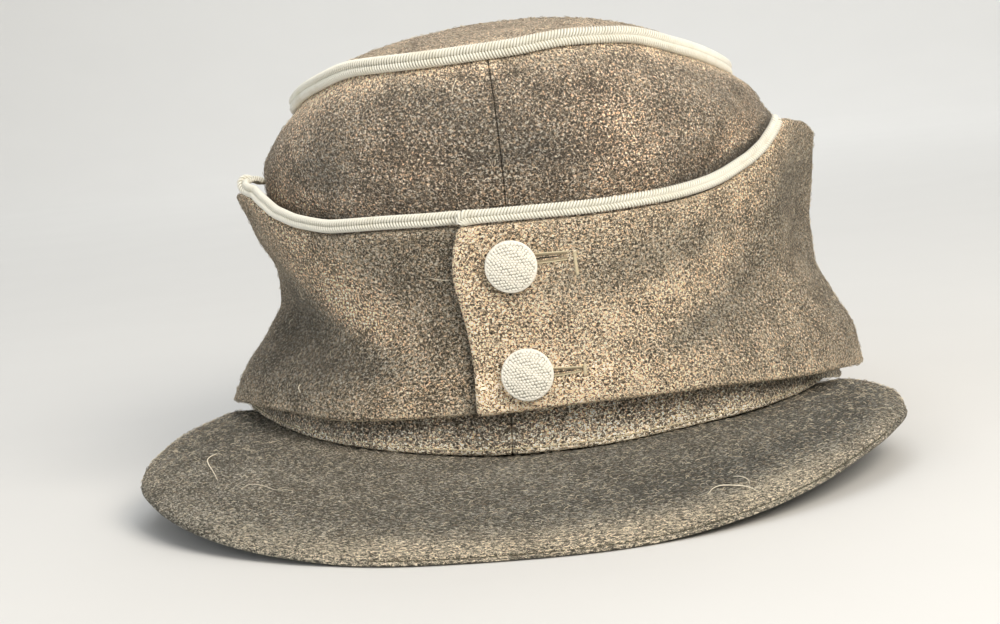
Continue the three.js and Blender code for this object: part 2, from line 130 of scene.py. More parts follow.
# Soft folds and dents: middle, reach each way, push outwards, and rise for each degree
FOLD_COLUMNS = "across up wide tall push slant"
TURN_UP_FOLDS = table(
    FOLD_COLUMNS,
    (-52, 44, 17, 6.5, -2.4, -0.32),
    (-28, 29, 14, 6.0, 1.1, -0.2),
    (57, 60, 7, 22, 1.8, 0),
    (74, 58, 9, 15, -1.8, 0),
    (72, 26, 14, 8, 1.2, 0),
)
CROWN_FOLDS = table(
    FOLD_COLUMNS, (16, 88, 12, 9, -1.3, 0), (-40, 90, 14, 8, 0.9, 0), (46, 88, 12, 8, 0.9, 0)
)
# How far the cloth's free edge curls away from TURN_UP_TOP at the ears
EAR_TRIM = table(
    "angle z",
    (-180, 0), (-115, -1.0), (-90, -3.0), (-76, -4.0), (-66, -3.3), (-60, -3.1), (-56, -3.8),
    (-51, -4.0), (-48, -3.5), (-45, -2.7), (-42, -1.9), (-39, -1.3), (-36, -0.8), (-30, -0.35),
    (-10, -0.2), (0, 0), (20, -0.3), (30, -0.7), (36, -1.15), (42, -1.5), (48, -1.9), (51, -2.5),
    (54, -3.2), (57, -2.8), (59, -1.4), (61, 0.4), (65, 1.9), (70, 2.3), (74, 2.9), (78, 2.4),
    (84, 1.6), (92, 0.6), (105, 0), (180, 0),
)
# Curl of the left braid over the ear: pixels of the photograph, and millimetres away from its camera
EAR_CURL = table(
    "across down behind",
    (248.8, 190.2, 2.6), (244.4, 187.2, 4.3), (243.4, 182.6, 5.5), (247.0, 179.6, 6.7),
    (252.0, 179.2, 8.0), (257.0, 180.2, 9.3), (262.5, 182.4, 10.6),
)
# Height up to which the crown's cloth is darkened: cloth that the turn-up kept unfaded, and a painted shadow
# line just above the braid
UNFADED_AND_SHADOW = table(
    "angle z",
    (-180, 71.0), (-120, 73.5), (-90, 75.5), (-70, 73.6), (-58, 72.6), (-50, 71.2), (-42, 70.1),
    (-30, 69.6), (0, 69.6), (24, 70.4), (36, 71.6), (44, 73.1), (52, 75.8), (60, 77.7), (68, 80.0),
    (80, 81.2), (95, 80.0), (120, 74.0), (180, 71.0),
)
# Worn and faded places, and painted light and shade: middle, reach each way, rise across, how much paler or
# darker the cloth is there in stops, and how much more rubbed. Along with wear and fading, the rows paint
# shade into folds and dents and paint light onto cloth that the turn-up shades. On the walls across is the
# angle and up the height; on the peak across is the turn and up the way in from its edge.
PATCH_COLUMNS = "across up wide tall slant tone wear"
CROWN_PATCHES = table(
    PATCH_COLUMNS,
    (34, 92, 18, 14, 0, 0.14, 0.2),
    # This row and the next paint light onto the strip below the turn-up, against the turn-up's shadow there
    (0, 16, 70, 11, 0, 0.63, 0.1),
    (28, 20, 26, 7, 0, 0.5, 0),
    (-58, 93, 14, 7, 0, 0.35, 0.3),
    # The rows from here on were fitted to the cloth's lightness: along with wear they paint light and shade,
    # such as light just above the braid by the ears, where the turn-up shades the crown
    (-49, 73, 24, 5, -0.09, 1.0, 0),
    (55, 79, 16, 5, 0.42, 0.9, 0),
    (22, 68, 9, 30, -1.2, 0.74, 0),
    (-56, 76, 20, 7, 1.01, 0.5, 0),
    (-12, 78, 10, 4, -0.3, 0.7, 0),
    (-3, 79, 14, 4, 0.32, -0.56, 0),
    (17, 102, 16, 3, 0, -0.6, 0),
    (-35, 79, 6, 8, -0.12, -0.68, 0),
    (-5, 90, 20, 5, -0.71, -0.39, 0),
)
TURN_UP_PATCHES = table(
    PATCH_COLUMNS,
    # The first two rows paint shade into the dark corner of the left flap below its crease, and the fourth
    # paints shade on the side beyond the right ear
    (-57, 34, 9, 16, 0, -0.5, -0.2),
    (-49, 42, 9, 13, 0, -0.6, 0),
    (20, 42, 26, 26, 0, 0.26, 0.45),
    (76, 50, 9, 24, 0, -0.3, -0.2),
    # The rows from here on were fitted to the cloth's lightness: along with wear they paint the light and
    # shade of the turn-up's folds, dents and hollows
    (-31, 35, 21, 5, -0.02, -1.0, 0),
    (-27, 53, 12, 7, -0.52, 1.0, 0),
    (50, 69, 14, 16, 0.81, 0.9, 0),
    (1, 44, 7, 27, 0.41, 0.45, 0),
    (-34, 48, 24, 5, -0.5, 1.0, 0),
    (77, 52, 24, 8, 1.2, 0.15, 0),
    (-54, 29, 9, 10, -0.24, 0.72, 0),
    (-33, 45, 24, 19, 0.25, -1.0, 0),
    (32, 37, 9, 3, 0.38, -0.99, 0),
    (31, 56, 24, 5, 0.24, -0.72, 0),
    (49, 49, 16, 9, 1.06, -0.63, 0),
    (5, 30, 24, 3, 0.02, 0.48, 0),
    (-42, 62, 24, 13, -1.1, 0.93, 0),
    (58, 68, 23, 5, -0.1, -0.44, 0),
)
PEAK_PATCHES = table(
    PATCH_COLUMNS,
    (60, 20, 30, 60, 0, -0.32, 0),
    (-32, 46, 30, 22, 0, 0.2, 0),
    # The rows from here on were fitted to the cloth's lightness: along with wear they paint light and shade
    (31, 16, 24, 7, -0.28, -0.59, 0),
    (-28, 5, 10, 7, 0.02, -0.73, 0),
    (-32, 16, 24, 18, 0.84, 0.32, 0),
    (47, 1, 9, 6, 0.09, 1.0, 0),
    (-33, 45, 24, 4, 0.41, 0.7, 0),
    (53, 12, 24, 9, 0.58, -0.42, 0),
    (30, 36, 6, 9, -1.2, 0.31, 0),
)

# Peak: outer edge in plan for each angle of its root, and the height of its face there
PEAK_EDGE = table(
    "root y x_right x_left z_right z_left",
    (0, -152.8, 0, 0, 2.8, 2.8),
    (5, -152.4, 10.3, 10.1, 2.8, 2.8),
    (10, -151.2, 20.5, 20.0, 3.0, 3.0),
    (20, -144.8, 39.5, 38.5, 4.0, 4.0),
    (28, -134.6, 55.5, 56.0, 5.6, 5.4),
    (36, -120.5, 69.4, 72.2, 7.9, 7.7),
    (44, -104.5, 80.2, 83.8, 10.4, 10.0),
    (51, -88.5, 87.8, 91.0, 12.2, 12.0),
    (57, -71.0, 92.0, 93.4, 13.2, 13.4),
    (61, -56.0, 91.8, 92.6, 13.6, 14.6),
    (64, -46.0, 88.4, 88.4, 14.0, 16.0),
    (66, -40.0, 83.5, 83.0, 14.2, 17.4),
)
# Angle of the peak's ends, how far its root lies inside the wall, its arch, and its edge's least thickness
PEAK_ENDS = 66
PEAK_TUCK = 3.4
PEAK_ARCH = 0.9
PEAK_LEAST_EDGE = 2.6
# Section of the peak's edge: distance in from its outermost line, share of its thickness, and the notch there
PEAK_ROLL = table(
    "inward drop notch",
    (12.0, 0.0, 0), (7.0, 0.05, 0), (4.0, 0.13, 0), (2.2, 0.23, 0), (1.2, 0.34, 0), (0.6, 0.45, 0.1),
    (0.3, 0.54, 0.4), (0.1, 0.62, 0.7), (0.0, 0.7, 0.3), (0.05, 0.8, 0), (0.35, 0.92, 0), (1.4, 1.0, 0),
)
# The peak's seam shows from one angle of its root to another, and its pale worn band likewise; the
# seam lies at a share of the edge's thickness
PEAK_SEAM_SHOWN = (-14, 50)
PEAK_BAND_SHOWN = (-40, 46)
PEAK_SEAM_DEPTH = 0.61
# Angle and height of each button, and half the section of one from its back to its crown: the field
# for the pebbles lies inside the rim
BUTTONS = {"button_upper": (2.6, 56.2), "button_lower": (2.9, 31.4)}
BUTTON_PROFILE = table(
    "radius out",
    (0.0, 0.0), (4.6, 0.0), (5.5, 0.45), (5.95, 0.95), (6.0, 1.25), (5.9, 1.55), (5.68, 1.7),
    (5.45, 1.62), (5.3, 1.6), (4.6, 1.86), (3.6, 2.14), (2.4, 2.36), (1.2, 2.5), (0.0, 2.54),
)
BUTTON_SECTION_WIDTH = 12

# The photograph's frame and the camera that it was taken with, placed in the cap's own frame
PHOTO = {"width": 1000, "height": 624, "focal": 2222}
CAMERA = {"azimuth": 6.7, "elevation": 6.85, "distance": 609, "roll": 5.6}
CAMERA_TARGET = Vector((-11.2, 1.0 + CENTRE_Y, 33.5))
SENSOR_WIDTH = 36
# Worked buttonholes in the photograph: its two stitched edges, from the button outwards, and its bar tack
BUTTONHOLES = {
    "upper": {
        "above": ((533, 253.8), (550, 252.3), (569, 251.0)),
        "below": ((533, 263.8), (550, 261.8), (567, 259.4)),
        "tack": ((574.6, 252.0), (575.6, 263.0), (577.4, 274.0)),
    },
    "lower": {
        "above": ((548, 368.2), (565, 367.4), (582, 366.4)),
        "below": ((548, 377.0), (565, 374.6), (581, 371.4)),
        "tack": ((584.6, 364.5), (585.0, 369.0), (585.6, 374.0)),
    },
}
# Hairs and threads that lie on the cloth: piece, width, and pixels of the photograph
LINT = (
    ("wool_peak", 0.3, ((217, 454), (212, 457), (208, 461), (209, 466), (213, 472), (218, 481))),
    ("wool_peak", 0.26, ((708, 494), (714, 489), (722, 487), (735, 487), (748, 488), (759, 492))),
    ("wool_peak", 0.2, ((733, 477), (741, 478), (748, 481), (750, 485))),
    ("wool_peak", 0.16, ((241, 489), (249, 486), (256, 486), (266, 488), (276, 491), (288, 490))),
    ("wool_turn_up", 0.2, ((430, 278), (438, 279.5), (446, 280), (453, 280))),
    ("wool_turn_up", 0.24, ((301, 384), (300, 388), (301, 393))),
    ("wool_crown_left", 0.22, ((456, 78), (455, 84), (453, 90), (452, 96))),
)
# Loose fibres: how many, how far they turn off the lie of the nap in degrees, their length, and the slot
FIBRES = {
    "wool_crown_left": (2000, 180, 1.2, "crown_cloth"),
    "wool_crown_right": (2000, 180, 1.2, "crown_cloth"),
    "wool_crown_top": (2000, 180, 1.2, "crown_cloth"),
    "wool_turn_up": (5500, 180, 1.2, "turn_up_cloth"),
    "wool_peak": (9500, 60, 0.85, "peak_cloth"),
}
# Soft boxes: azimuth, elevation, distance from the cap and width in metres, watts, and colour
LIGHTS = {
    "key": (40, 36, 1.15, 0.6, 10.8, "#fff6ea"),
    "fill": (-42, 22, 1.25, 0.8, 2.3, "#eaf2ff"),
    "top": (0, 80, 1.2, 0.9, 2.6, "#fafcff"),
    "back": (180, 34, 1.95, 1.3, 13.0, "#ffffff"),
}
ROOM_LIGHT = 0.46
UV_SIZE = 100  # millimetres of cloth in one unit of the UV map


def read(rows, column, at):
    """Smooth values of a table's column at places along its first column."""
    x, y = next(iter(rows.values())), rows[column]
    slope = np.diff(y) / np.diff(x)
    tangent = np.concatenate((slope[:1], np.zeros(len(x) - 2), slope[-1:]))
    product = slope[:-1] * slope[1:]
    total = slope[:-1] + slope[1:]
    tangent[1:-1] = np.where(product > 0, 2 * product / np.where(product > 0, total, 1), 0)
    at = np.clip(at, x[0], x[-1])
    i = np.clip(np.searchsorted(x, at, side="right") - 1, 0, len(x) - 2)
    span = x[i + 1] - x[i]
    t = (at - x[i]) / span
    ends = y[i] * (1 + 2 * t) * (1 - t) ** 2 + y[i + 1] * t * t * (3 - 2 * t)
    return ends + span * t * (1 - t) * (tangent[i] * (1 - t) - tangent[i + 1] * t)


def smooth_step(at, low, high):
    t = np.clip((np.asarray(at, float) - low) / (high - low), 0, 1)
    return t * t * (3 - 2 * t)


def within(at, rising, falling):
    """One between the ranges over which it rises and falls, nothing beyond them."""
    return smooth_step(at, *rising) * smooth_step(-at, -falling[1], -falling[0])


def hill(*spans):
    """Soft hill over spans from its middle, each as a share of its reach that way."""
    return np.exp(-sum(span * span for span in spans))


def soft_sum(rows, column, across, up):
    """Sum of a table's soft patches, each as strong as the column says."""
    total = 0.0
    for i, middle in enumerate(rows["across"]):
        aside = across - middle
        above = up - rows["up"][i] - rows["slant"][i] * aside
        total = total + rows[column][i] * hill(aside / rows["wide"][i], above / rows["tall"][i])
    return total


def wrap(angle):
    """Angle brought to between -180 and 180 degrees."""
    return np.mod(np.asarray(angle, float) + 180, 360) - 180


def outline(sizes, angle, inset=0.0):
    """Plan outline through the reaches, moved in by inset."""
    c, s = np.cos(np.radians(angle)), np.sin(np.radians(angle))
    side = np.where(s > 0, sizes["right"], sizes["left"]) - inset
    along = np.where(c > 0, sizes["front"], sizes["back"]) - inset
    power = 2 / PLAN_POWER
    return np.sign(s) * np.abs(s) ** power * side, -np.sign(c) * np.abs(c) ** power * along


def section_at(rows, up):
    return {side: read(rows, side, up) for side in SIDES}


def rim_height(angle):
    """Height of the wall's rim: on the peak in front, level with the table at the back."""
    rim_slack = 0.15
    turned = np.abs(angle)
    behind = np.where(angle > 0, read(RIM_RIGHT, "z", turned), read(RIM_LEFT, "z", turned))
    return np.where(turned <= RIM_RIGHT["angle"][0], read(PEAK_ROOT, "z", angle) + GAP + rim_slack, behind)


def room_under(side, angle, z):
    """Reach that the turn-up leaves to the wall, relaxed where the turn-up doesn't cover it."""
    press_gap = 1.0
    relax = 0.35
    low = read(TURN_UP_BOTTOM, "z", angle)
    high = read(TURN_UP_TOP, "z", angle)
    share = (z - low) / (high - low)
    face = read(TURN_UP_SECTIONS, side, np.clip(share, 0, 1))
    beyond = np.maximum(low - z, 0) + np.maximum(z - high, 0)
    face = face + soft_sum(TURN_UP_FOLDS, "push", angle, z)
    return face - size("turn_up_cloth") - press_gap + relax * beyond


def soft_min(a, b):
    """Smaller of two reaches, blended over about half a millimetre."""
    sharp = 3.0
    return np.minimum(a, b) - np.log1p(np.exp(-sharp * np.abs(a - b))) / sharp


def crown_point(angle, up, inset=0.0):
    """Outer face of the crown wall, moved in by inset."""
    low = rim_height(angle)
    z = low + (read(TOP_SEAM, "z", angle) - low) * up
    sizes = section_at(CROWN_SECTIONS, up)
    push = soft_sum(CROWN_FOLDS, "push", angle, z)
    for side in SIDES:
        sizes[side] = soft_min(sizes[side] + push, room_under(side, angle, z))
    x, y = outline(sizes, angle, inset)
    in_front = np.maximum(0, np.cos(np.radians(angle))) ** 4
    return np.stack(np.broadcast_arrays(x + in_front * read(CROWN_SECTIONS, "seam", up), y, z), -1)


def turn_up_heights(turn):
    """Heights of the turn-up's lower fold and free edge; turn runs past 360 where it lies underneath."""
    angle = wrap(turn)
    tucked = OVERLAP["tuck"] * smooth_step(turn, OVERLAP["tuck_starts"], OVERLAP["tuck_ends"])
    tucked = np.where(turn > OVERLAP["under"], tucked, 0)
    low = read(TURN_UP_BOTTOM, "z", angle) + tucked * 0.5
    return low, read(TURN_UP_TOP, "z", angle) + read(EAR_TRIM, "z", angle) - tucked


def turn_up_point(turn, up, inset=0.0):
    """Outer face of the turn-up, moved in by inset."""
    turn = np.asarray(turn, float)
    angle = wrap(turn)
    low, high = turn_up_heights(turn)
    z = low + (high - low) * up
    lifted = 1 - smooth_step(turn, OVERLAP["lift_ends"], OVERLAP["lift_gone"])
    over = np.where(turn > OVERLAP["under"], 0, lifted)
    out = soft_sum(TURN_UP_FOLDS, "push", angle, z) + OVERLAP["lift"] * over
    x, y = outline(section_at(TURN_UP_SECTIONS, up), angle, inset - out)
    near_edge = 1 - smooth_step(turn, OVERLAP["start"], OVERLAP["start"] + OVERLAP["bow_gone"])
    return np.stack(np.broadcast_arrays(x + near_edge * read(OVERLAP_EDGE, "x", z), y, z), -1)


def turn_up_at(turn, z, inset=0.0):
    low, high = turn_up_heights(np.asarray(turn, float))
    return turn_up_point(turn, (z - low) / (high - low), inset)


def peak_plan(turn):
    """Root and outer edge of the peak at each angle, the reach between them, and their heights."""
    at = np.abs(turn)
    root = outline(section_at(CROWN_SECTIONS, 0.0), turn, PEAK_TUCK)
    left = turn < 0
    edge_x = np.where(left, -read(PEAK_EDGE, "x_left", at), read(PEAK_EDGE, "x_right", at))
    edge_z = np.where(left, read(PEAK_EDGE, "z_left", at), read(PEAK_EDGE, "z_right", at))
    edge_y = read(PEAK_EDGE, "y", at)
    reach = np.hypot(edge_x - root[0], edge_y - root[1])
    return root, (edge_x, edge_y), reach, read(PEAK_ROOT, "z", turn), edge_z


def peak_edge(turn):
    """Reach of the peak from its root, and the thickness of its edge, thinner where it nears the table."""
    _, _, reach, _, edge_z = peak_plan(turn)
    return reach, np.minimum(size("peak_thickness"), np.maximum(edge_z, PEAK_LEAST_EDGE))


def peak_point(turn, out, drop=0.0):
    """Top face of the peak at a share of the way out, lowered by drop."""
    root, edge, reach, root_z, edge_z = peak_plan(turn)
    flat = PEAK_TUCK / reach
    run = np.maximum(0, (out - flat) / (1 - flat))
    z = root_z + (edge_z - root_z) * run + PEAK_ARCH * 4 * run * (1 - run) - drop
    x = root[0] + (edge[0] - root[0]) * out
    y = root[1] + (edge[1] - root[1]) * out
    return np.stack(np.broadcast_arrays(x, y, z), -1)


def ripple(points, length, seed):
    """Smooth random height, about -1 to 1, over waves of a length in millimetres."""
    shift = Vector((seed * 7.3, seed * 3.1, seed * 5.7))
    flat = points.reshape(-1, 3) / length
    values = [noise.noise(Vector(p) + shift) for p in flat]
    return np.array(values).reshape(points.shape[:-1])


def unit(vectors):
    vectors = np.asarray(vectors, float)
    return vectors / np.linalg.norm(vectors, axis=-1, keepdims=True)


def size(name):
    """A size of the cap in millimetres."""
    return getattr(bpy.context.scene.field_cap_sizes, name) / MM


def colour(name):
    """A colour of the cap, linear."""
    return tuple(getattr(bpy.context.scene.field_cap_colours, name))


def linear(code):
    """Linear colour of an sRGB hex code."""
    parts = [int(code[i : i + 2], 16) / 255 for i in (1, 3, 5)]
    return tuple(p / 12.92 if p <= 0.04045 else ((p + 0.055) / 1.055) ** 2.4 for p in parts) + (1.0,)


def way_along(points):
    """Distance along a path to each of its points."""
    return np.concatenate(([0], np.cumsum(np.linalg.norm(np.diff(points, axis=0), axis=1))))


def linked(name, data):
    """New object in the scene."""
    made = bpy.data.objects.new(name, data)
    bpy.context.scene.collection.objects.link(made)
    return made


def section_loop(rows, bend, radius):
    """Closed section of cloth: up the outer face, over the top edge, down the inner face, round the fold.

    Gives columns for its points: the share of the straight height, the way beyond it, the depth as a
    share of the thickness, how many straight heights lie before it on the way round, and the arc there.
    """
    rise = np.linspace(0, 1, rows + 1)
    none = np.zeros(rows + 1)
    arc = np.radians(np.linspace(0, 180, bend + 1)[1:-1])
    one = np.ones(bend - 1)
    return {
        "share": np.concatenate((rise, one, rise[::-1], one * 0)),
        "beyond": np.concatenate((none, radius * np.sin(arc), none, -radius * np.sin(arc))),
        "depth": np.concatenate((none, (1 - np.cos(arc)) / 2, none + 1, (1 + np.cos(arc)) / 2)),
        "heights": np.concatenate((rise, one, 2 - rise[::-1], one * 0)),
        "arc": np.concatenate((none, radius * arc, none + math.pi * radius, -radius * arc[::-1])),
    }


def rounded_ends(length, reach, count, step):
    """Places along a strip with both ends rounded: the place, and the share of full thickness there."""
    arc = np.radians(np.linspace(0, 90, count + 1))
    end = reach * (1 - np.cos(arc))
    body = np.linspace(reach, length - reach, max(2, int((length - 2 * reach) / step)) + 1)[1:-1]
    place = np.concatenate((end, body, length - end[::-1]))
    full = np.concatenate((np.sin(arc), body * 0 + 1, np.sin(arc[::-1])))
    return place, np.maximum(full, 0.0)


def cloth_object(name, points, cloth_uv, marks, material, round_along=False, round_section=True):
    """Object from a grid of section points in millimetres, with its UV map and its marks as attributes."""
    columns, around = points.shape[:2]
    corners = points.reshape(-1, 3) + np.array((0, CENTRE_Y, 0))
    corners[:, 2] = np.maximum(corners[:, 2], 0)
    last_column = columns if round_along else columns - 1
    last_point = around if round_section else around - 1
    grids = np.meshgrid(np.arange(last_column), np.arange(last_point), indexing="ij")
    c, r = (grid.ravel() for grid in grids)
    c_next, r_next = (c + 1) % columns, (r + 1) % around
    here, there = c * around, c_next * around
    quads = np.stack((here + r, there + r, there + r_next, here + r_next), -1)
    mesh = bpy.data.meshes.new(name)
    mesh.from_pydata((corners * MM).tolist(), [], quads.tolist())
    for mark, values in marks.items():
        data = mesh.attributes.new(mark, "FLOAT", "POINT").data
        data.foreach_set("value", np.broadcast_to(values, points.shape[:2]).ravel().astype(np.float32))
    uv = mesh.uv_layers.new(name="cloth")
    loops = np.empty(len(mesh.loops), np.int32)
    mesh.loops.foreach_get("vertex_index", loops)
    uv.data.foreach_set("uv", (cloth_uv.reshape(-1, 2)[loops] / UV_SIZE).ravel().astype(np.float32))
    return finished_object(name, mesh, material)


def finished_object(name, mesh, material):
    """Object with a mesh whose doubles are merged and whose faces point outwards."""
    merged_within, nothing_within = 1e-6, 1e-7  # metres
    work = bmesh.new()
    work.from_mesh(mesh)
    bmesh.ops.remove_doubles(work, verts=work.verts, dist=merged_within)
    bmesh.ops.dissolve_degenerate(work, edges=work.edges, dist=nothing_within)
    open_edges = [edge for edge in work.edges if edge.is_boundary]
    if open_edges:
        bmesh.ops.holes_fill(work, edges=open_edges, sides=0)
    bmesh.ops.recalc_face_normals(work, faces=work.faces)
    work.to_mesh(mesh)
    work.free()
    mesh.polygons.foreach_set("use_smooth", [True] * len(mesh.polygons))
    mesh.materials.append(material)
    return linked(name, mesh)


def settle(piece, slot, *nodes):
    """Lets a piece move with the cap and hides the solids that it stands for."""
    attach(piece, "root")
    if nodes:
        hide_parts(*nodes)


def add_node(tree, kind, inputs=None, **settings):
    """Adds a node, sets its properties, and sets its inputs or links them to sockets or first outputs."""
    made = tree.nodes.new(kind)
    for name, value in settings.items():
        setattr(made, name, value)
    for name, value in (inputs or {}).items():
        if isinstance(value, bpy.types.Node):
            value = value.outputs[0]
        if isinstance(value, bpy.types.NodeSocket):
            tree.links.new(value, made.inputs[name])
        else:
            made.inputs[name].default_value = value
    return made


def made_material(name, look, **settings):
    """Material made once; its look adds nodes to the tree and gives the shader's inputs."""
    found = bpy.data.materials.get(name)
    if found:
        return found
    made = bpy.data.materials.new(name)
    made.use_nodes = True
    made.node_tree.nodes.clear()
    shader = add_node(made.node_tree, "ShaderNodeBsdfPrincipled", look(made.node_tree, **settings))
    add_node(made.node_tree, "ShaderNodeOutputMaterial", {"Surface": shader})
    return made


def drifting(tree, one, other, wave, detail=2.0, roughness=0.5, low=0.0, high=1.0):
    """Colour that drifts from one to another over waves of a length in millimetres.

    The other colour starts to show where the noise passes low and is full where it reaches high.
    """
    drift = add_node(tree, "ShaderNodeTexNoise", {
        "Vector": add_node(tree, "ShaderNodeTexCoord").outputs["Object"],
        "Scale": 1 / (wave * MM), "Detail": detail, "Roughness": roughness,
    })
    share = add_node(tree, "ShaderNodeMapRange", {"Value": drift, "From Min": low, "From Max": high})
    return add_node(tree, "ShaderNodeMix", {0: share, 6: one, 7: other}, data_type="RGBA").outputs[2]


def wool(tree, palette, grain, lie, cover, spread):
    """Felted wool cloth.

    palette names its colours: hollows, ground, fibres, ginger fibres and rubbed fibres. grain is the width of
    its curled fibres in millimetres, lie how many times longer they are along the piece, cover the level over
    which pale fibres show, and spread how softly they rise out of the ground.
    """
    deep, middle, fleck, ginger, rubbed = (colour(part) for part in palette)
    wear, tone, warm = (
        add_node(tree, "ShaderNodeAttribute", attribute_name=mark).outputs["Fac"]
        for mark in ("wear", "tone", "warm")
    )
    uv = add_node(tree, "ShaderNodeUVMap", uv_map="cloth")
    laid = add_node(tree, "ShaderNodeMapping", {"Vector": uv, "Scale": (1 / lie, 1, 1)})
    place = add_node(tree, "ShaderNodeTexCoord").outputs["Object"]
    curls, hairs, dye, mottle, blotches = (
        add_node(tree, "ShaderNodeTexNoise", {
            "Vector": vector, "Scale": scale, "Detail": detail, "Roughness": roughness, "Distortion": curled,
        }, noise_dimensions=dimensions)
        for dimensions, vector, scale, detail, roughness, curled in (
            ("2D", laid, UV_SIZE / grain, 1.5, 0.7, 0.9),
            ("2D", laid, UV_SIZE / (0.5 * grain), 1.0, 0.5, 1.6),
            ("2D", laid, UV_SIZE / (1.7 * grain), 1.0, 0.5, 0.0),
            ("2D", uv, UV_SIZE / 7, 2.0, 0.6, 0.0),
            ("3D", place, 1 / (26 * MM), 2.0, 0.55, 0.0),
        )
    )
    level = -cover
    for part, weight in ((curls, 1.0), (hairs, 0.6), (mottle, 0.18), (blotches, 0.16), (wear, 0.1)):
        level = add_node(tree, "ShaderNodeMath", {0: part, 1: weight, 2: level}, operation="MULTIPLY_ADD")
    under = add_node(tree, "ShaderNodeMapRange", {
        "Value": level, "From Min": -1.4 * spread, "From Max": 0.0,
    }, interpolation_type="SMOOTHSTEP")
    pale = add_node(tree, "ShaderNodeMapRange", {
        "Value": level, "From Min": -0.005, "From Max": 1.15 * spread,
    })
    gingery = add_node(tree, "ShaderNodeMapRange", {"Value": dye, "From Min": 0.44, "From Max": 0.6})
    bleached = add_node(tree, "ShaderNodeMapRange", {"Value": wear, "To Max": 0.6})
    glint = add_node(tree, "ShaderNodeMapRange", {
        "Value": hairs, "From Min": 0.3, "From Max": 0.7, "To Min": 0.84, "To Max": 1.26,
    })
    rgba = {"data_type": "RGBA"}
    tint = add_node(tree, "ShaderNodeMix", {0: warm, 6: colour("greyed"), 7: colour("warmed")}, **rgba)
    dyed = add_node(tree, "ShaderNodeMix", {0: gingery, 6: fleck, 7: ginger}, **rgba)
    fibres = add_node(tree, "ShaderNodeMix", {0: bleached, 6: dyed.outputs[2], 7: rubbed}, **rgba)
    ground = add_node(tree, "ShaderNodeMix", {0: under, 6: deep, 7: middle}, **rgba)
    cloth = add_node(tree, "ShaderNodeMix", {0: pale, 6: ground.outputs[2], 7: fibres.outputs[2]}, **rgba)
    # The tone mark scales the cloth's colour: along with wear and fading it carries the painted light and
    # shade of the marks
    lit = add_node(tree, "ShaderNodeMath", {0: tone, 1: glint}, operation="MULTIPLY")
    toned = add_node(tree, "ShaderNodeVectorMath", {0: cloth.outputs[2], "Scale": lit}, operation="SCALE")
    return {
        "Base Color": add_node(tree, "ShaderNodeVectorMath", {
            0: toned, 1: tint.outputs[2],
        }, operation="MULTIPLY"),
        "Roughness": add_node(tree, "ShaderNodeMapRange", {"Value": pale, "To Min": 0.98, "To Max": 0.86}),
        "Normal": add_node(tree, "ShaderNodeBump", {"Height": level, "Strength": 1.0, "Distance": 0.62 * MM}),
        "IOR": 1.5, "Specular IOR Level": 0.2,
        "Sheen Weight": 0.25, "Sheen Roughness": 0.6, "Sheen Tint": fleck,
    }


def crown_wool():
    """Felted wool flannel, worn: dense dark grey-brown ground with short tan fibres rubbed up on it."""
    palette = ("wool_deep", "wool_middle", "wool_fleck", "wool_ginger", "wool_rubbed")
    name = "felted_wool_crown"
    return made_material(name, wool, palette=palette, grain=0.5, lie=1.15, cover=1.048, spread=0.122)


def turn_up_wool():
    """The same flannel, rubbed more, so it is browner and paler and its fibres stand out as fine grains."""
    palette = ("wool_deep", "turn_up_middle", "wool_fleck", "wool_ginger", "wool_rubbed")
    name = "felted_wool_turn_up"
    return made_material(name, wool, palette=palette, grain=0.49, lie=1.1, cover=1.036, spread=0.1)


def peak_wool():
    """The same flannel, less worn and steamed over the stiff plate: greener, its nap lying sideways."""
    palette = ("peak_deep", "peak_middle", "peak_fleck", "peak_fleck", "peak_rubbed")
    name = "felted_wool_peak"
    return made_material(name, wool, palette=palette, grain=0.44, lie=2.4, cover=1.075, spread=0.125)


def loose_wool(tree):
    """Loose wool fibres, pale and dull, from tan to grey."""
    tone = add_node(tree, "ShaderNodeAttribute", attribute_name="tone").outputs["Fac"]
    mix = add_node(tree, "ShaderNodeMix", {
        0: tone, 6: colour("wool_middle"), 7: colour("fibre"),
    }, data_type="RGBA")
    return {"Base Color": mix.outputs[2], "Roughness": 0.9, "Specular IOR Level": 0.2}


def braid_thread(tree):
    """Soutache braid of mercerised cotton, dulled: cream threads with a soft gloss, darker in the gaps."""
    twist = add_node(tree, "ShaderNodeTexNoise", {
        "Vector": add_node(tree, "ShaderNodeTexCoord").outputs["Object"], "Scale": 1 / (0.22 * MM),
        "Detail": 2.0,
    })
    return {
        "Base Color": drifting(tree, colour("braid"), colour("braid_soiled"), 5, 4.0, 0.7, 0.5, 0.8),
        "Normal": add_node(tree, "ShaderNodeBump", {"Height": twist, "Strength": 0.4, "Distance": 0.05 * MM}),
        "Roughness": 0.55, "Specular IOR Level": 0.4, "Sheen Weight": 0.2,
    }


def braid_core(tree):
    """Core cords of the braid, coloured darker than the strands as painted shade between them: they show only
    as dark specks there.
    """
    return {"Base Color": drifting(tree, colour("braid_gap"), colour("braid_soiled"), 2), "Roughness": 0.9}


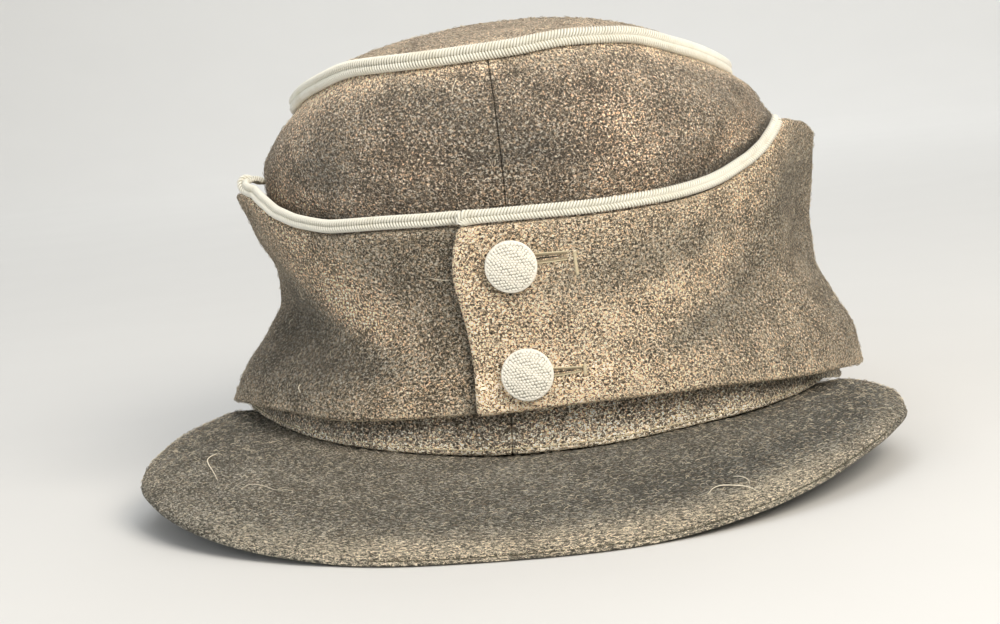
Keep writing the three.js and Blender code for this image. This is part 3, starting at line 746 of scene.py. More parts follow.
def button_metal(tree):
    """Stamped aluminium under dull silver-white lacquer: pale and even, grey with dirt between its grains."""
    soil = add_node(tree, "ShaderNodeAttribute", attribute_name="soil").outputs["Fac"]
    lacquer = drifting(tree, colour("button"), colour("button_washed"), 3, 5.0, 0.65, 0.5, 0.8)
    soiled = add_node(tree, "ShaderNodeMix", {
        0: soil, 6: lacquer, 7: colour("button_dirt"),
    }, data_type="RGBA")
    pits = add_node(tree, "ShaderNodeTexNoise", {
        "Vector": add_node(tree, "ShaderNodeTexCoord").outputs["Object"], "Scale": 1 / (0.2 * MM),
        "Detail": 3.0,
    })
    return {
        "Base Color": soiled.outputs[2],
        "Roughness": add_node(tree, "ShaderNodeMapRange", {"Value": pits, "To Min": 0.34, "To Max": 0.56}),
        "Normal": add_node(tree, "ShaderNodeBump", {"Height": pits, "Strength": 0.3, "Distance": 0.04 * MM}),
    }


def sewing_thread(tree, shade):
    """Cotton sewing thread, matt, with a fine twist."""
    return {"Base Color": drifting(tree, dimmed(shade, 0.6), colour(shade), 0.3), "Roughness": 0.85}


def cut_wool(tree):
    """Nearly black fill of a buttonhole's slit, drifting towards the wool's deep colour: painted shadow in
    the slit.
    """
    return {"Base Color": drifting(tree, colour("slit"), colour("wool_deep"), 0.5), "Roughness": 0.95}


def stray_hair(tree):
    """Pale hair and cotton lint, slightly glossy."""
    return {"Base Color": drifting(tree, colour("fibre"), colour("hair"), 2), "Roughness": 0.5}


def studio_paper(tree):
    """Seamless paper, pale and matt, with a faint tooth."""
    paper = drifting(tree, colour("floor"), dimmed("floor", 0.97), 60)
    return {"Base Color": paper, "Roughness": 0.95, "Specular IOR Level": 0.1}


def dimmed(name, share):
    """Colour of the cap at a share of its brightness."""
    return tuple(share * part for part in colour(name)[:3]) + (1.0,)


def new_tree(name, plain, whole=()):
    """Geometry Nodes tree with plain and whole numbers among its named inputs, and their sockets."""
    tree = bpy.data.node_groups.new(name, "GeometryNodeTree")
    tree.interface.new_socket("Geometry", in_out="OUTPUT", socket_type="NodeSocketGeometry")
    kinds = {"Geometry": "Geometry", "Material": "Material"}
    kinds.update({label: "Float" for label in plain})
    kinds.update({label: "Int" for label in whole})
    for label, kind in kinds.items():
        tree.interface.new_socket(label, in_out="INPUT", socket_type="NodeSocket" + kind)
    return tree, tree.nodes.new("NodeGroupInput").outputs


def finish_tree(tree, instances, material):
    """Ends a tree in plain smooth meshes with their material."""
    real = add_node(tree, "GeometryNodeRealizeInstances", {"Geometry": instances})
    smooth = add_node(tree, "GeometryNodeSetShadeSmooth", {"Geometry": real})
    painted = add_node(tree, "GeometryNodeSetMaterial", {"Geometry": smooth, "Material": material})
    add_node(tree, "NodeGroupOutput", {0: painted})


def swept(tree, path, sides, radius):
    """Round thread along a curve, closed at both ends."""
    ring = add_node(tree, "GeometryNodeCurvePrimitiveCircle", {"Resolution": sides, "Radius": radius})
    return add_node(tree, "GeometryNodeCurveToMesh", {
        "Curve": path, "Profile Curve": ring, "Fill Caps": True,
    })


def repeat_tree(shape, sizes):
    """Geometry Nodes tree that puts a shape on each point, turned by the point's along and out.

    sizes are the tree's named inputs, in metres or plain numbers; shape adds its nodes from them and
    returns the shapes that the points' kind picks from.
    """
    name = shape.__name__ + "_repeat"
    found = bpy.data.node_groups.get(name)
    if found:
        return found
    tree, given = new_tree(name, sizes)
    choice = add_node(tree, "GeometryNodeGeometryToInstance")
    for made in reversed(shape(tree, given)):
        tree.links.new(made.outputs[0], choice.inputs[0])
    along, out, grown = (
        add_node(tree, "GeometryNodeInputNamedAttribute", {"Name": label}, data_type="FLOAT_VECTOR")
        for label in ("along", "out", "grown")
    )
    kind = add_node(tree, "GeometryNodeInputNamedAttribute", {"Name": "kind"}, data_type="INT")
    turned = add_node(tree, "FunctionNodeAxesToRotation", {
        "Primary Axis": along, "Secondary Axis": out,
    }, primary_axis="Z", secondary_axis="X")
    placed = add_node(tree, "GeometryNodeInstanceOnPoints", {
        "Points": given["Geometry"], "Instance": choice, "Pick Instance": True, "Instance Index": kind,
        "Rotation": turned, "Scale": grown,
    })
    finish_tree(tree, placed, given["Material"])
    return tree


def grown_mesh(carrier, tree, material, sizes):
    """Plain mesh that a tree makes from a carrier object, which is left without the modifier."""
    modifier = carrier.modifiers.new(tree.name, "NODES")
    modifier.node_group = tree
    sockets = {item.name: item.identifier for item in tree.interface.items_tree if item.in_out == "INPUT"}
    modifier[sockets["Material"]] = material
    for label, value in sizes.items():
        modifier[sockets[label]] = value
    graph = bpy.context.evaluated_depsgraph_get()
    mesh = bpy.data.meshes.new_from_object(carrier.evaluated_get(graph), depsgraph=graph)
    carrier.modifiers.remove(modifier)
    return mesh


def point_carrier(name, places, along, out, kinds=None, grown=None):
    """Object of loose points, in millimetres, that carry the direction, facing, kind and size of a repeat."""
    places = np.asarray(places, float) * MM
    count = len(places)
    mesh = bpy.data.meshes.new(name)
    mesh.from_pydata(places.tolist(), [], [])
    vectors = {"along": along, "out": out, "grown": np.ones((count, 3)) if grown is None else grown}
    for label, values in vectors.items():
        data = mesh.attributes.new(label, "FLOAT_VECTOR", "POINT").data
        data.foreach_set("vector", np.asarray(values, np.float32).ravel())
    data = mesh.attributes.new("kind", "INT", "POINT").data
    data.foreach_set("value", np.zeros(count, np.int32) if kinds is None else np.asarray(kinds, np.int32))
    return linked(name, mesh)


def repeated(name, shape, material, sizes, places, along, out, kinds=None, grown=None):
    """Finished object of a shape repeated over points."""
    carrier = point_carrier(name + "_points", places, along, out, kinds, grown)
    mesh = grown_mesh(carrier, repeat_tree(shape, sizes), material, sizes)
    bpy.data.objects.remove(carrier)
    mesh.name = name
    return linked(name, mesh)


def joined(name, parts):
    """One object out of several, each keeping its material."""
    work = bmesh.new()
    materials = []
    for part in parts:
        start = len(work.faces)
        work.from_mesh(part.data)
        work.faces.ensure_lookup_table()
        for own in part.data.materials:
            if own not in materials:
                materials.append(own)
        lookup = [materials.index(own) for own in part.data.materials]
        for face in work.faces[start:]:
            face.material_index = lookup[min(face.material_index, len(lookup) - 1)]
    mesh = bpy.data.meshes.new(name)
    work.to_mesh(mesh)
    work.free()
    for own in materials:
        mesh.materials.append(own)
    for part in parts:
        bpy.data.objects.remove(part)
    return linked(name, mesh)


def placed(points):
    """Points of the surface tables, in millimetres, moved to where the cap stands."""
    return np.asarray(points, float) + np.array((0, CENTRE_Y, 0))


def strand(tree, given):
    """One strand of braid over the front of a ridge, slanting either way."""
    strands = []
    for reverse in (False, True):
        path = add_node(tree, "GeometryNodeCurveSpiral", {
            "Resolution": 12, "Rotations": given["Turns"], "Start Radius": given["Ridge radius"],
            "End Radius": given["Ridge radius"], "Height": given["Slant"], "Reverse": reverse,
        })
        strands.append(swept(tree, path, 5, given["Strand radius"]))
    return strands


def pebble(tree, given):
    """Low domed grain."""
    return [add_node(tree, "GeometryNodeMeshUVSphere", {
        "Segments": 7, "Rings": 5, "Radius": given["Grain radius"],
    })]


def stitch(tree, given):
    """Short thread that dives into the cloth at both ends."""
    start, end = (
        add_node(tree, "ShaderNodeVectorMath", {0: (0, 0, side), "Scale": given["Length"]}, operation="SCALE")
        for side in (-0.5, 0.5)
    )
    crest = add_node(tree, "ShaderNodeCombineXYZ", {"X": given["Rise"]})
    path = add_node(tree, "GeometryNodeCurveQuadraticBezier", {
        "Resolution": 5, "Start": start, "Middle": crest, "End": end,
    })
    return [swept(tree, path, 6, given["Thread radius"])]


def path_frames(path, closed=False, facing=None):
    """Directions along a path, and across it upwards and outwards; facing is where outwards should point."""
    if closed:
        along = np.roll(path, -1, 0) - np.roll(path, 1, 0)
    else:
        along = np.gradient(path, axis=0)
    along = unit(along)
    if facing is None:
        over = unit(np.array((0, 0, 1.0)) - along[:, 2:] * along)
        return along, over, np.cross(along, over)
    out = unit(facing - np.sum(facing * along, 1)[:, None] * along)
    return along, np.cross(out, along), out


def even_path(path, step, closed=False):
    """The path again, in even steps."""
    if closed:
        path = np.concatenate((path, path[:1]))
    way = way_along(path)
    count = max(2, int(round(way[-1] / step)))
    at = np.linspace(0, way[-1], count + 1)
    if closed:
        at = at[:-1]
    return np.stack([np.interp(at, way, path[:, axis]) for axis in range(3)], -1)


def smooth_path(points, count):
    """Curve through given points."""
    points = np.asarray(points, float)
    ends = np.concatenate((2 * points[:1] - points[1:2], points, 2 * points[-1:] - points[-2:-1]))
    result = []
    for i in range(len(points) - 1):
        a, b, c, d = ends[i : i + 4]
        t = np.linspace(0, 1, count + 1)[:-1, None]
        bend, twist = 2 * a - 5 * b + 4 * c - d, 3 * b - a - 3 * c + d
        result.append(0.5 * (2 * b + (c - a) * t + bend * t**2 + twist * t**3))
    return np.concatenate(result + [points[-1:]])


def tube(name, path, radius, sides, material, closed=False):
    """Round tube along a path in millimetres, its ends rounded; radius may change along it."""
    _, over, out = path_frames(path, closed, unit(path * (1, 1, 0)))
    radius = np.broadcast_to(np.asarray(radius, float), (len(path),))
    turn = np.linspace(0, 2 * math.pi, sides + 1)[:-1]
    ring = out[:, None] * np.cos(turn)[None, :, None] + over[:, None] * np.sin(turn)[None, :, None]
    points = path[:, None] + ring * radius[:, None, None]
    corners = (points.reshape(-1, 3) * MM).tolist()
    count = len(path)
    faces = []
    for i in range(count if closed else count - 1):
        for k in range(sides):
            j, m = (i + 1) % count, (k + 1) % sides
            faces.append((i * sides + k, j * sides + k, j * sides + m, i * sides + m))
    if not closed:
        faces.append(tuple(range(sides)))
        faces.append(tuple((count - 1) * sides + k for k in reversed(range(sides))))
    mesh = bpy.data.meshes.new(name)
    mesh.from_pydata(corners, [], faces)
    return finished_object(name, mesh, material)


def braid(name, path, width, turned=0.0, swollen=0.0, lifted=0.0, closed=False):
    """Two-ridged braid along a path: strands slant towards the groove between two core cords.

    turned is how far the braid's face turns from straight out of the cap towards its front, swollen how much
    wider it is where it starts, and lifted how far its face turns upwards there.
    """
    ridge_middle, ridge_reach = 0.21 * width, 0.29 * width
    ends_round, swell_reach, lift_starts, lift_gone = 1.3, 3, 2, 7
    turns = 0.7  # of a strand round its ridge, centred on the ridge's front
    step, thin, slant = size("strand_spacing"), size("strand_width") / 2, size("strand_slant")
    ridge = ridge_reach - thin
    path = even_path(path, step, closed)
    way = step * np.arange(len(path))
    lift = lifted * smooth_step(-way, -lift_gone, -lift_starts)[:, None]
    outward = unit(path * (1, 1, 0)) * (1 - turned) + np.array((0, -1, 0)) * turned
    along, over, out = path_frames(path, closed, outward * (1 - lift) + np.array((0, 0, 1)) * lift)
    from_end = np.full(len(path), np.inf) if closed else np.minimum(way, way[-1] - way)
    full = np.sqrt(1 - np.clip(1 - (from_end + 0.15) / ends_round, 0, 1) ** 2)
    swell = 1 + swollen * hill(way / swell_reach)
    # At its ends the braid draws together and thins out
    apart = ((0.35 + 0.65 * full) * swell)[:, None]
    thick = (0.55 + 0.45 * full) * swell
    core = made_material("cotton_braid_core", braid_core)
    ridges = [path + over * ridge_middle * side * apart for side in (1, -1)]
    cores = [
        tube(f"{name}_core_{kind}", line, ridge * thick, 8, core, closed) for kind, line in enumerate(ridges)
    ]
    spins = [np.radians(side * 180 * turns) for side in (-1, 1)]
    lead = along * slant / 2
    strands = repeated(
        name + "_strands",
        strand,
        made_material("cotton_soutache_braid", braid_thread),
        {"Turns": turns, "Ridge radius": ridge * MM, "Slant": slant * MM, "Strand radius": thin * MM},
        np.concatenate([line - lead * thick[:, None] for line in ridges]),
        np.tile(along, (2, 1)),
        np.concatenate([out * math.cos(spin) + over * math.sin(spin) for spin in spins]),
        np.repeat((0, 1), len(path)),
        np.tile(thick[:, None], (2, 3)),
    )
    return joined(name, [strands] + cores)


def crown_piping_path():
    """Middle of the braid in the corner between wall and top panel."""
    radius = 1.6
    angles = np.linspace(-180, 180, 361)[:-1]
    x, y = outline(section_at(CROWN_SECTIONS, 1.0), angles, -radius)
    return placed(np.stack((x, y, read(TOP_SEAM, "z", angles) + 1.0), -1))


def edge_piping_path(first, last):
    """Middle of the braid on the turn-up's free edge, from one turn to another."""
    turns = np.linspace(first, last, 160)
    turns = np.where(turns < OVERLAP["start"], turns + 360, turns)
    edge = turn_up_point(turns, np.ones_like(turns), 0.7)
    _, over, _ = path_frames(edge)
    return placed(edge + over * (size("braid_width") / 2 + 0.35))


def turned_end(path, run, degrees, towards):
    """Path with its start carried on for a run, turning towards a direction as it goes."""
    steps = 12
    heading = unit(path[0] - path[2])
    across = unit(towards - heading * np.dot(towards, heading))
    point = path[0]
    added = []
    for i in range(1, steps + 1):
        angle = math.radians(degrees * i / steps)
        point = point + (heading * math.cos(angle) + across * math.sin(angle)) * run / steps
        added.append(point)
    return np.concatenate((np.array(added[::-1]), path))


def curled_end(path):
    """Path with its start carried on through the curl that the photograph shows over the ear."""
    right, up, back, eye = (np.array(part) for part in camera_frame())
    depth = np.dot(eye - path[0], back)
    points = []
    for across, down, behind in zip(*EAR_CURL.values()):
        sideways = right * (across - PHOTO["width"] / 2) - up * (down - PHOTO["height"] / 2)
        points.append(eye + (sideways / PHOTO["focal"] - back) * (depth + behind))
    curl = smooth_path([path[3], path[0]] + points, 6)[6:]
    return np.concatenate((curl[:0:-1], path))


def camera_frame():
    """Right, up and backward directions of the photograph's camera, and its place in millimetres."""
    azimuth, elevation, roll = (math.radians(CAMERA[name]) for name in ("azimuth", "elevation", "roll"))
    level = math.cos(elevation)
    back = Vector((math.sin(azimuth) * level, -math.cos(azimuth) * level, math.sin(elevation)))
    right = (-back).cross(Vector((0, 0, 1))).normalized()
    up = right.cross(-back)
    right_rolled = right * math.cos(roll) - up * math.sin(roll)
    up_rolled = right * math.sin(roll) + up * math.cos(roll)
    return right_rolled, up_rolled, back, CAMERA_TARGET + back * CAMERA["distance"]


def surface_under(piece, pixels):
    """Points of a piece's surface, in millimetres, under pixels of the photograph, and their normals."""
    right, up, back, place = camera_frame()
    work = bmesh.new()
    work.from_mesh(piece.data)
    finder = BVHTree.FromBMesh(work)
    work.free()
    points, normals = [], []
    for across, down in pixels:
        way = right * (across - PHOTO["width"] / 2) - up * (down - PHOTO["height"] / 2)
        way = way - back * PHOTO["focal"]
        found, normal, _, _ = finder.ray_cast(place * MM, way.normalized())
        if found is None:
            raise RuntimeError(f"nothing of {piece.name} lies under pixel {across}, {down}")
        points.append(np.array(found) / MM)
        normals.append(np.array(normal))
    return np.array(points), np.array(normals)


def patch_sum(patches, column, across, up):
    """Sum of the soft patches of a mark, which lie on the front half of the cloth."""
    return soft_sum(patches, column, across, up) * smooth_step(-np.abs(across), -100, -84)


def warmth(tone):
    """Share of the warm tint on cloth of a tone; the tint follows painted light and shade as well as wear and
    fading.
    """
    return np.clip((tone - 0.6) / 0.9, 0, 1)


def cloth_strip(name, strip, material):
    """Strip of cloth with rolled edges and rounded ends, from the functions and sizes of its surface."""
    measured_at = 0.35  # share of its height at which the strip's length is measured
    outside_depth = 0.75
    thick = strip["thickness"]
    radius = thick / 2
    loop = section_loop(strip["rows"], strip["bend"], radius)
    fine = np.linspace(strip["first"], strip["last"], 2001)
    way = way_along(strip["point"](fine, np.full_like(fine, measured_at)))
    place, full = rounded_ends(way[-1], strip["end_reach"], 6, strip["step"])
    along = np.interp(place, way, fine)[:, None]
    place, full = place[:, None], full[:, None]
    low, high = strip["heights"](along)
    straight = high - low - 2 * radius
    z = low + radius + loop["share"] * straight + loop["beyond"] * full
    base = strip["point"](along, (z - low) / (high - low))
    relief = strip["relief"](along, z, place, base)
    inset = (0.5 + (loop["depth"] - 0.5) * full) * thick - relief
    points = strip["point"](along, (z - low) / (high - low), inset)
    points[..., 0] += strip.get("shift", 0)
    cloth_uv = np.stack(np.broadcast_arrays(place, loop["heights"] * straight + loop["arc"]), -1)
    marks = strip["marks"](along, z, place, low, high)
    marks["fuzz"] = (loop["depth"] < outside_depth) * marks["fuzz"]
    return cloth_object(name, points, cloth_uv, marks, material)


def crown_heights(angle):
    return rim_height(angle), read(TOP_SEAM, "z", angle)


def crown_relief(angle, z, place, base):
    """Puckers beside the front seam, the dent behind the right ear, the shoulder, and uneven old felt."""
    seam = 0.3 * hill((place - 2.6) / 1.8) * (1 + 0.4 * ripple(base, 5, 3))
    above_edge = z - read(TURN_UP_TOP, "z", angle)
    behind_ear = 1.3 * smooth_step(angle, 26, 38) * smooth_step(-angle, -74, -64)
    behind_ear = behind_ear * hill((above_edge - 3) / 5)
    below_braid = read(TOP_SEAM, "z", angle) - z
    shoulder = 2.2 * hill((angle - 88) / 26, (below_braid - 4) / 4)
    return 0.5 * ripple(base, 17, 1) + 0.16 * ripple(base, 5.5, 2) + seam - behind_ear + shoulder


def crown_marks(angle, z, place, low, high):
    """Wear of the rim and the top edge, the darker unfaded cloth that the turn-up covers, and painted shadow
    just above the turn-up's edge, deepest by the right ear.
    """
    rim = np.exp(-np.maximum(z - low, 0) / 1.8)
    near_top = hill(np.maximum(high - z, 0) / 5)
    covered = read(UNFADED_AND_SHADOW, "z", angle)
    # Painted shadow where the turn-up stands off the crown: strong by the right ear, weaker by the left one
    right_ear_shadow = 0.4 * smooth_step(angle, 26, 36) + 0.36 * smooth_step(angle, 36, 50)
    right_ear_shadow = right_ear_shadow * smooth_step(-angle, -95, -80)
    left_ear_shadow = 0.26 * within(-angle, (20, 40), (80, 95))
    dark = 1 - smooth_step(z, covered - 0.9, covered + 1.3)
    unfaded_and_shadow = (0.12 + right_ear_shadow + left_ear_shadow) * dark * smooth_step(z, 30, 40)
    wear = 0.15 + patch_sum(CROWN_PATCHES, "wear", angle, z) + 0.9 * rim + 0.9 * near_top
    wear = np.clip(wear, 0, 1)
    tone = (1 + 0.25 * near_top + 0.4 * rim - unfaded_and_shadow) * 2 ** patch_sum(CROWN_PATCHES, "tone", angle, z)
    tone = np.maximum(tone * (1 + 0.3 * wear), 0.1)
    shown = within(z, (18, 24), (60, 68)) * smooth_step(np.abs(angle), 60, 80)
    return {
        "wear": wear,
        "tone": tone,
        "warm": warmth(tone) * smooth_step(z, 18, 30),
        "fuzz": (1 - 0.95 * shown) * smooth_step(z, 2, 5),
    }


def make_crown_wall(name, side):
    """Half of the crown wall, from the front seam round to the back seam."""
    return cloth_strip(
        name,
        {
            "point": crown_point,
            "heights": crown_heights,
            "relief": crown_relief,
            "marks": crown_marks,
            "first": 0,
            "last": 180 * side,
            "thickness": size("crown_cloth"),
            "rows": 66,
            "bend": 8,
            "step": 1.5,
            "end_reach": 0.4,
            "shift": side * 0.04,
        },
        crown_wool(),
    )


def make_crown_top():
    """Domed top panel, its edge rolled under where it is seamed to the wall."""
    summit_gap, edge_gap = 0.012, 0.06  # shares of the way in where the mesh changes its step
    nap_shift = 1.2
    angles = np.linspace(-180, 180, 281)[:-1][:, None]
    inward = np.concatenate((np.linspace(1, edge_gap, 34), np.linspace(edge_gap, summit_gap, 5)[1:]))
    roll = np.radians(np.linspace(20, 160, 7))
    half = TOP_CLOTH / 2
    share = np.concatenate((inward, summit_gap * (1 - np.sin(roll)), inward[::-1]))
    drop = np.concatenate((inward * 0, half * (1 - np.cos(roll)), inward * 0 + TOP_CLOTH))
    x, y = outline(section_at(CROWN_SECTIONS, 1.0), angles, 0.4)
    base_z = read(TOP_SEAM, "z", angles) + GAP + TOP_CLOTH
    z = base_z + (TOP_SUMMIT - base_z) * read(TOP_RINGS, "rise", share)
    flat = np.stack(np.broadcast_arrays(x * (1 - share), y * (1 - share), z), -1)
    soft = 0.45 * ripple(flat, 19, 5) + 0.15 * ripple(flat, 6, 6)
    flat[..., 2] += soft * smooth_step(share, 0, 0.08) - drop
    # The whole top panel is painted lighter: partly its worn, bald nap, partly painted light for the sheen
    # across its top
    tone = 1.4 + 0.06 * ripple(flat, 30, 8)
    marks = {
        "wear": 0.5 + 0.4 * np.exp(-share * 60 / 7),
        "tone": tone,
        "warm": warmth(tone),
        "fuzz": np.where(drop < half, 1.0, 0.0),
    }
    cloth_uv = flat[..., :2] + nap_shift
    return cloth_object("wool_crown_top", flat, cloth_uv, marks, crown_wool(), True, False)


def turn_up_relief(turn, z, place, base):
    """Pull of the buttons, the roll of the edges, and the unevenness of doubled cloth."""
    pull = 0.0
    for angle, height in BUTTONS.values():
        button = turn_up_at(angle, height)
        near = np.hypot(base[..., 0] - button[0], base[..., 2] - button[2])
        pull = pull - 0.45 * hill(near / 8)
    pull = np.where(turn < 90, pull, 0)
    edge = 0.35 * hill((place - 2.5) / 2.2)
    angle = wrap(turn)
    near_top = np.maximum(turn_up_heights(turn)[1] - z, 0)
    beyond_ears = 0.9 * smooth_step(angle, 78, 92) + 0.8 * smooth_step(-angle, 64, 76)
    rolled_in = -2.0 * beyond_ears * np.exp(-near_top / 3.2)
    flared = 1.2 * hill((angle + 64) / 9, near_top / 6)
    corner = 0.6 * hill((angle - 80) / 12, near_top / 5)
    uneven = 0.55 * ripple(base, 21, 11) + 0.2 * ripple(base, 7, 12)
    return uneven + pull + edge + rolled_in + flared + corner


def turn_up_marks(turn, z, place, low, high):
    """Wear of the fold and free edges, and painted shadow on the cloth beside the overlap's edge."""
    angle = wrap(turn)
    fold = np.exp(-np.maximum(z - low, 0) / 2.6)
    free = np.exp(-np.maximum(high - z, 0) / 4)
    front_edge = np.exp(-place / 4)
    near_overlap, at_overlap, below_overlap = (346, 355), (354.2, 356.2), (357, 360)
    # Painted shadow on the left flap beside the edge of the lapped end
    overlap_shadow = 0.22 * smooth_step(turn, *near_overlap) + 0.35 * smooth_step(turn, *at_overlap)
    covered = smooth_step(turn, *below_overlap)
    wear = 0.25 + patch_sum(TURN_UP_PATCHES, "wear", angle, z) + 0.7 * fold + 0.3 * free + 0.8 * front_edge
    wear = np.clip(wear, 0, 1)
    tone = (1 + 0.15 * front_edge - overlap_shadow) * 2 ** patch_sum(TURN_UP_PATCHES, "tone", angle, z)
    tone = tone * (1 + 0.34 * wear)
    fuzz = (1 - covered) * (0.8 + 0.8 * fold + 0.5 * front_edge) * smooth_step(z, 2, 5)
    return {"wear": wear, "tone": tone, "warm": warmth(tone), "fuzz": fuzz}


def make_turn_up():
    """The doubled strip of the turn-up, right round the crown, its ends lapped in front."""
    return cloth_strip(
        "wool_turn_up",
        {
            "point": turn_up_point,
            "heights": turn_up_heights,
            "relief": turn_up_relief,
            "marks": turn_up_marks,
            "first": OVERLAP["start"],
            "last": OVERLAP["end"],
            "thickness": size("turn_up_cloth"),
            "rows": 54,
            "bend": 8,
            "step": 1.7,
            "end_reach": 1.1,
        },
        turn_up_wool(),
    )


def make_peak():
    """Stiff peak covered in wool, its edge rolled over a seam close to the rim."""
    thick = size("peak_thickness")
    fine = np.linspace(-PEAK_ENDS, PEAK_ENDS, 1001)
    way = way_along(peak_point(fine, 1.0))
    place, full = rounded_ends(way[-1], 1.6, 6, 1.7)
    turn = np.interp(place, way, fine)[:, None]
    reach, rim = peak_edge(turn)
    face = np.linspace(0, 1, 30)[:-1]
    back = np.linspace(1, 0, 18)[1:]
    first, last = PEAK_SEAM_SHOWN
    seam_shown = within(turn, (first - 6, first), (last, last + 6))
    first, last = PEAK_BAND_SHOWN
    band_shown = within(turn, (first, first + 14), (last - 12, last))
    inward = np.minimum(PEAK_ROLL["inward"] + PEAK_ROLL["notch"] * seam_shown, 0.9 * reach)
    rolled = 1 - inward / reach
    out = np.concatenate((face * rolled[:, :1], rolled, back * rolled[:, -1:]), 1)
    drop = np.concatenate((0 * face * rim, PEAK_ROLL["drop"] * rim, rim + (thick - rim) * (1 - back)), 1)
    drop = thick / 2 + (drop - thick / 2) * full[:, None]
    points = peak_point(turn, out, drop)
    top = drop < thick * 0.3
    points[..., 2] += np.where(top, 0.35 * ripple(points, 19, 21) + 0.1 * ripple(points, 6, 22), 0)
    inward_of_edge = (1 - out) * reach
    band = hill(np.maximum(inward_of_edge - 3, 0) / 6) * (0.25 + 0.75 * band_shown)
    groove = hill((drop / rim - PEAK_SEAM_DEPTH) / 0.05) * (out > 0.5) * seam_shown
    under = smooth_step(drop / rim, 0.66, 0.9) * (out > 0.5)
    # The worn band is paler; the darkening in the seam's groove and on the underside of the rolled edge is
    # painted shade
    tone = 1 + 0.52 * band - 0.45 * groove - 0.3 * under
    tone = tone * 2 ** patch_sum(PEAK_PATCHES, "tone", turn, inward_of_edge)
    marks = {
        "wear": np.where(top | (out > 0.9), band, 0) + 0 * drop,
        "tone": tone,
        "warm": warmth(tone),
        "fuzz": np.where(drop < thick * 0.6, 1.0, 0.0) * (1 + band),
    }
    cloth_uv = np.stack(np.broadcast_arrays(place[:, None], out * reach + drop), -1)
    return cloth_object("wool_peak", points, cloth_uv, marks, peak_wool())


def button_frame(name):
    """Where a button stands on the turn-up and the way it faces."""
    angle, z = BUTTONS[name]
    seat = turn_up_at(angle, z)
    across = turn_up_at(angle + 2, z) - turn_up_at(angle - 2, z)
    rising = turn_up_at(angle, z + 2) - turn_up_at(angle, z - 2)
    facing = unit(np.cross(across, rising))
    level = unit(across - facing * np.dot(across, facing))
    return placed(seat + facing * GAP), facing, level, np.cross(facing, level)


def pebble_rows(name):
    """Places of the grains: rows that run nearly level low on the button and fan out above."""
    seat, facing, level, rising = button_frame(name)
    spacing = size("pebble_spacing")
    row_gap = 0.88 * spacing
    field = 5.5 * size("button_diameter") / BUTTON_SECTION_WIDTH
    stray, first_row, fan_out, fan_reach, wave, lean = 0.07, 0.25, 0.16, 3.2, 0.12, 0.06
    chance = random.Random(name)
    profile = {label: column[::-1][:6] for label, column in BUTTON_PROFILE.items()}
    places, outs = [], []
    for row in range(int(2 * field / row_gap) + 1):
        height = -field + first_row + row * row_gap
        fan = fan_out * float(smooth_step(height, -1, field))
        steps = int(2 * field / spacing) + 8
        for step in range(-steps // 2, steps // 2 + 1):
            across = (step + 0.5 * (row % 2)) * spacing
            x = across * (1 + 0.05 * fan) + chance.uniform(-stray, stray)
            y = height - fan * across * across / fan_reach + wave * math.sin(across * 0.9 + row)
            y += chance.uniform(-stray, stray)
            radius = math.hypot(x, y)
            if radius > field:
                continue
            out = float(np.interp(radius, profile["radius"], profile["out"]))
            places.append(seat + level * x + rising * y + facing * out)
            outs.append(unit(facing + (level * x + rising * y) * lean))
    return np.array(places), np.array(outs)


def make_button(name):
    """Stamped dome with a smooth rim, covered in pebbled grain."""
    seat, facing, level, rising = button_frame(name)
    scale = size("button_diameter") / BUTTON_SECTION_WIDTH
    spin = np.radians(np.linspace(0, 360, 73)[:-1])
    around = level * np.cos(spin)[:, None] + rising * np.sin(spin)[:, None]
    radius, out = BUTTON_PROFILE["radius"], BUTTON_PROFILE["out"]
    points = seat + around[:, None] * radius[None, :, None] * scale + facing * out[None, :, None]
    points[..., 1] -= CENTRE_Y
    marks = {"soil": np.where((out > 1.5) & (radius < 5.4), 1.0, 0.0)}
    metal = made_material("lacquered_aluminium", button_metal)
    dome = cloth_object(name + "_dome", points, points[..., [0, 2]], marks, metal, True, False)
    places, outs = pebble_rows(name)
    grown = np.tile((1, 1, 0.8), (len(places), 1))
    sizes = {"Grain radius": size("pebble_spacing") * 0.55 * MM}
    sideways = np.tile(level, (len(places), 1))
    pebbles = repeated(name + "_pebbles", pebble, metal, sizes, places, outs, sideways, grown=grown)
    return joined("pebbled_" + name, [dome, pebbles])


def stitch_row(name, places, along, out, length, thread, rise, material):
    """Row of stitches at places on the cloth."""
    sizes = {"Length": length * MM, "Rise": rise * MM, "Thread radius": thread / 2 * MM}
    return repeated(name, stitch, material, sizes, places, along, out)


def seam_stitches(name, line, material, apart, thread, rise, away_from):
    """Stitches along a seam that face away from a point, which the middle of the seam gives."""
    line = even_path(placed(line), size("stitch_length") * apart)
    along, _, out = path_frames(line)
    away = line - away_from(line.mean(0))
    out = np.where((out * away).sum(-1, keepdims=True) < 0, -out, out)
    return stitch_row(name, line, along, out, size("stitch_length"), thread, rise, material)


def make_rim_stitches():
    """Stitches that close the folded lower edge of the wall above the peak."""
    above_rim = 1.5
    angles = np.linspace(-PEAK_ENDS + 4, PEAK_ENDS - 4, 1200)
    low, high = crown_heights(angles)
    line = crown_point(angles, above_rim / (high - low), -0.05)
    return seam_stitches(
        "wall_rim_stitches", line, made_material("cotton_thread_tan", sewing_thread, shade="thread_tan"),
        apart=1.35, thread=size("thread"), rise=0.5, away_from=lambda middle: middle,
    )


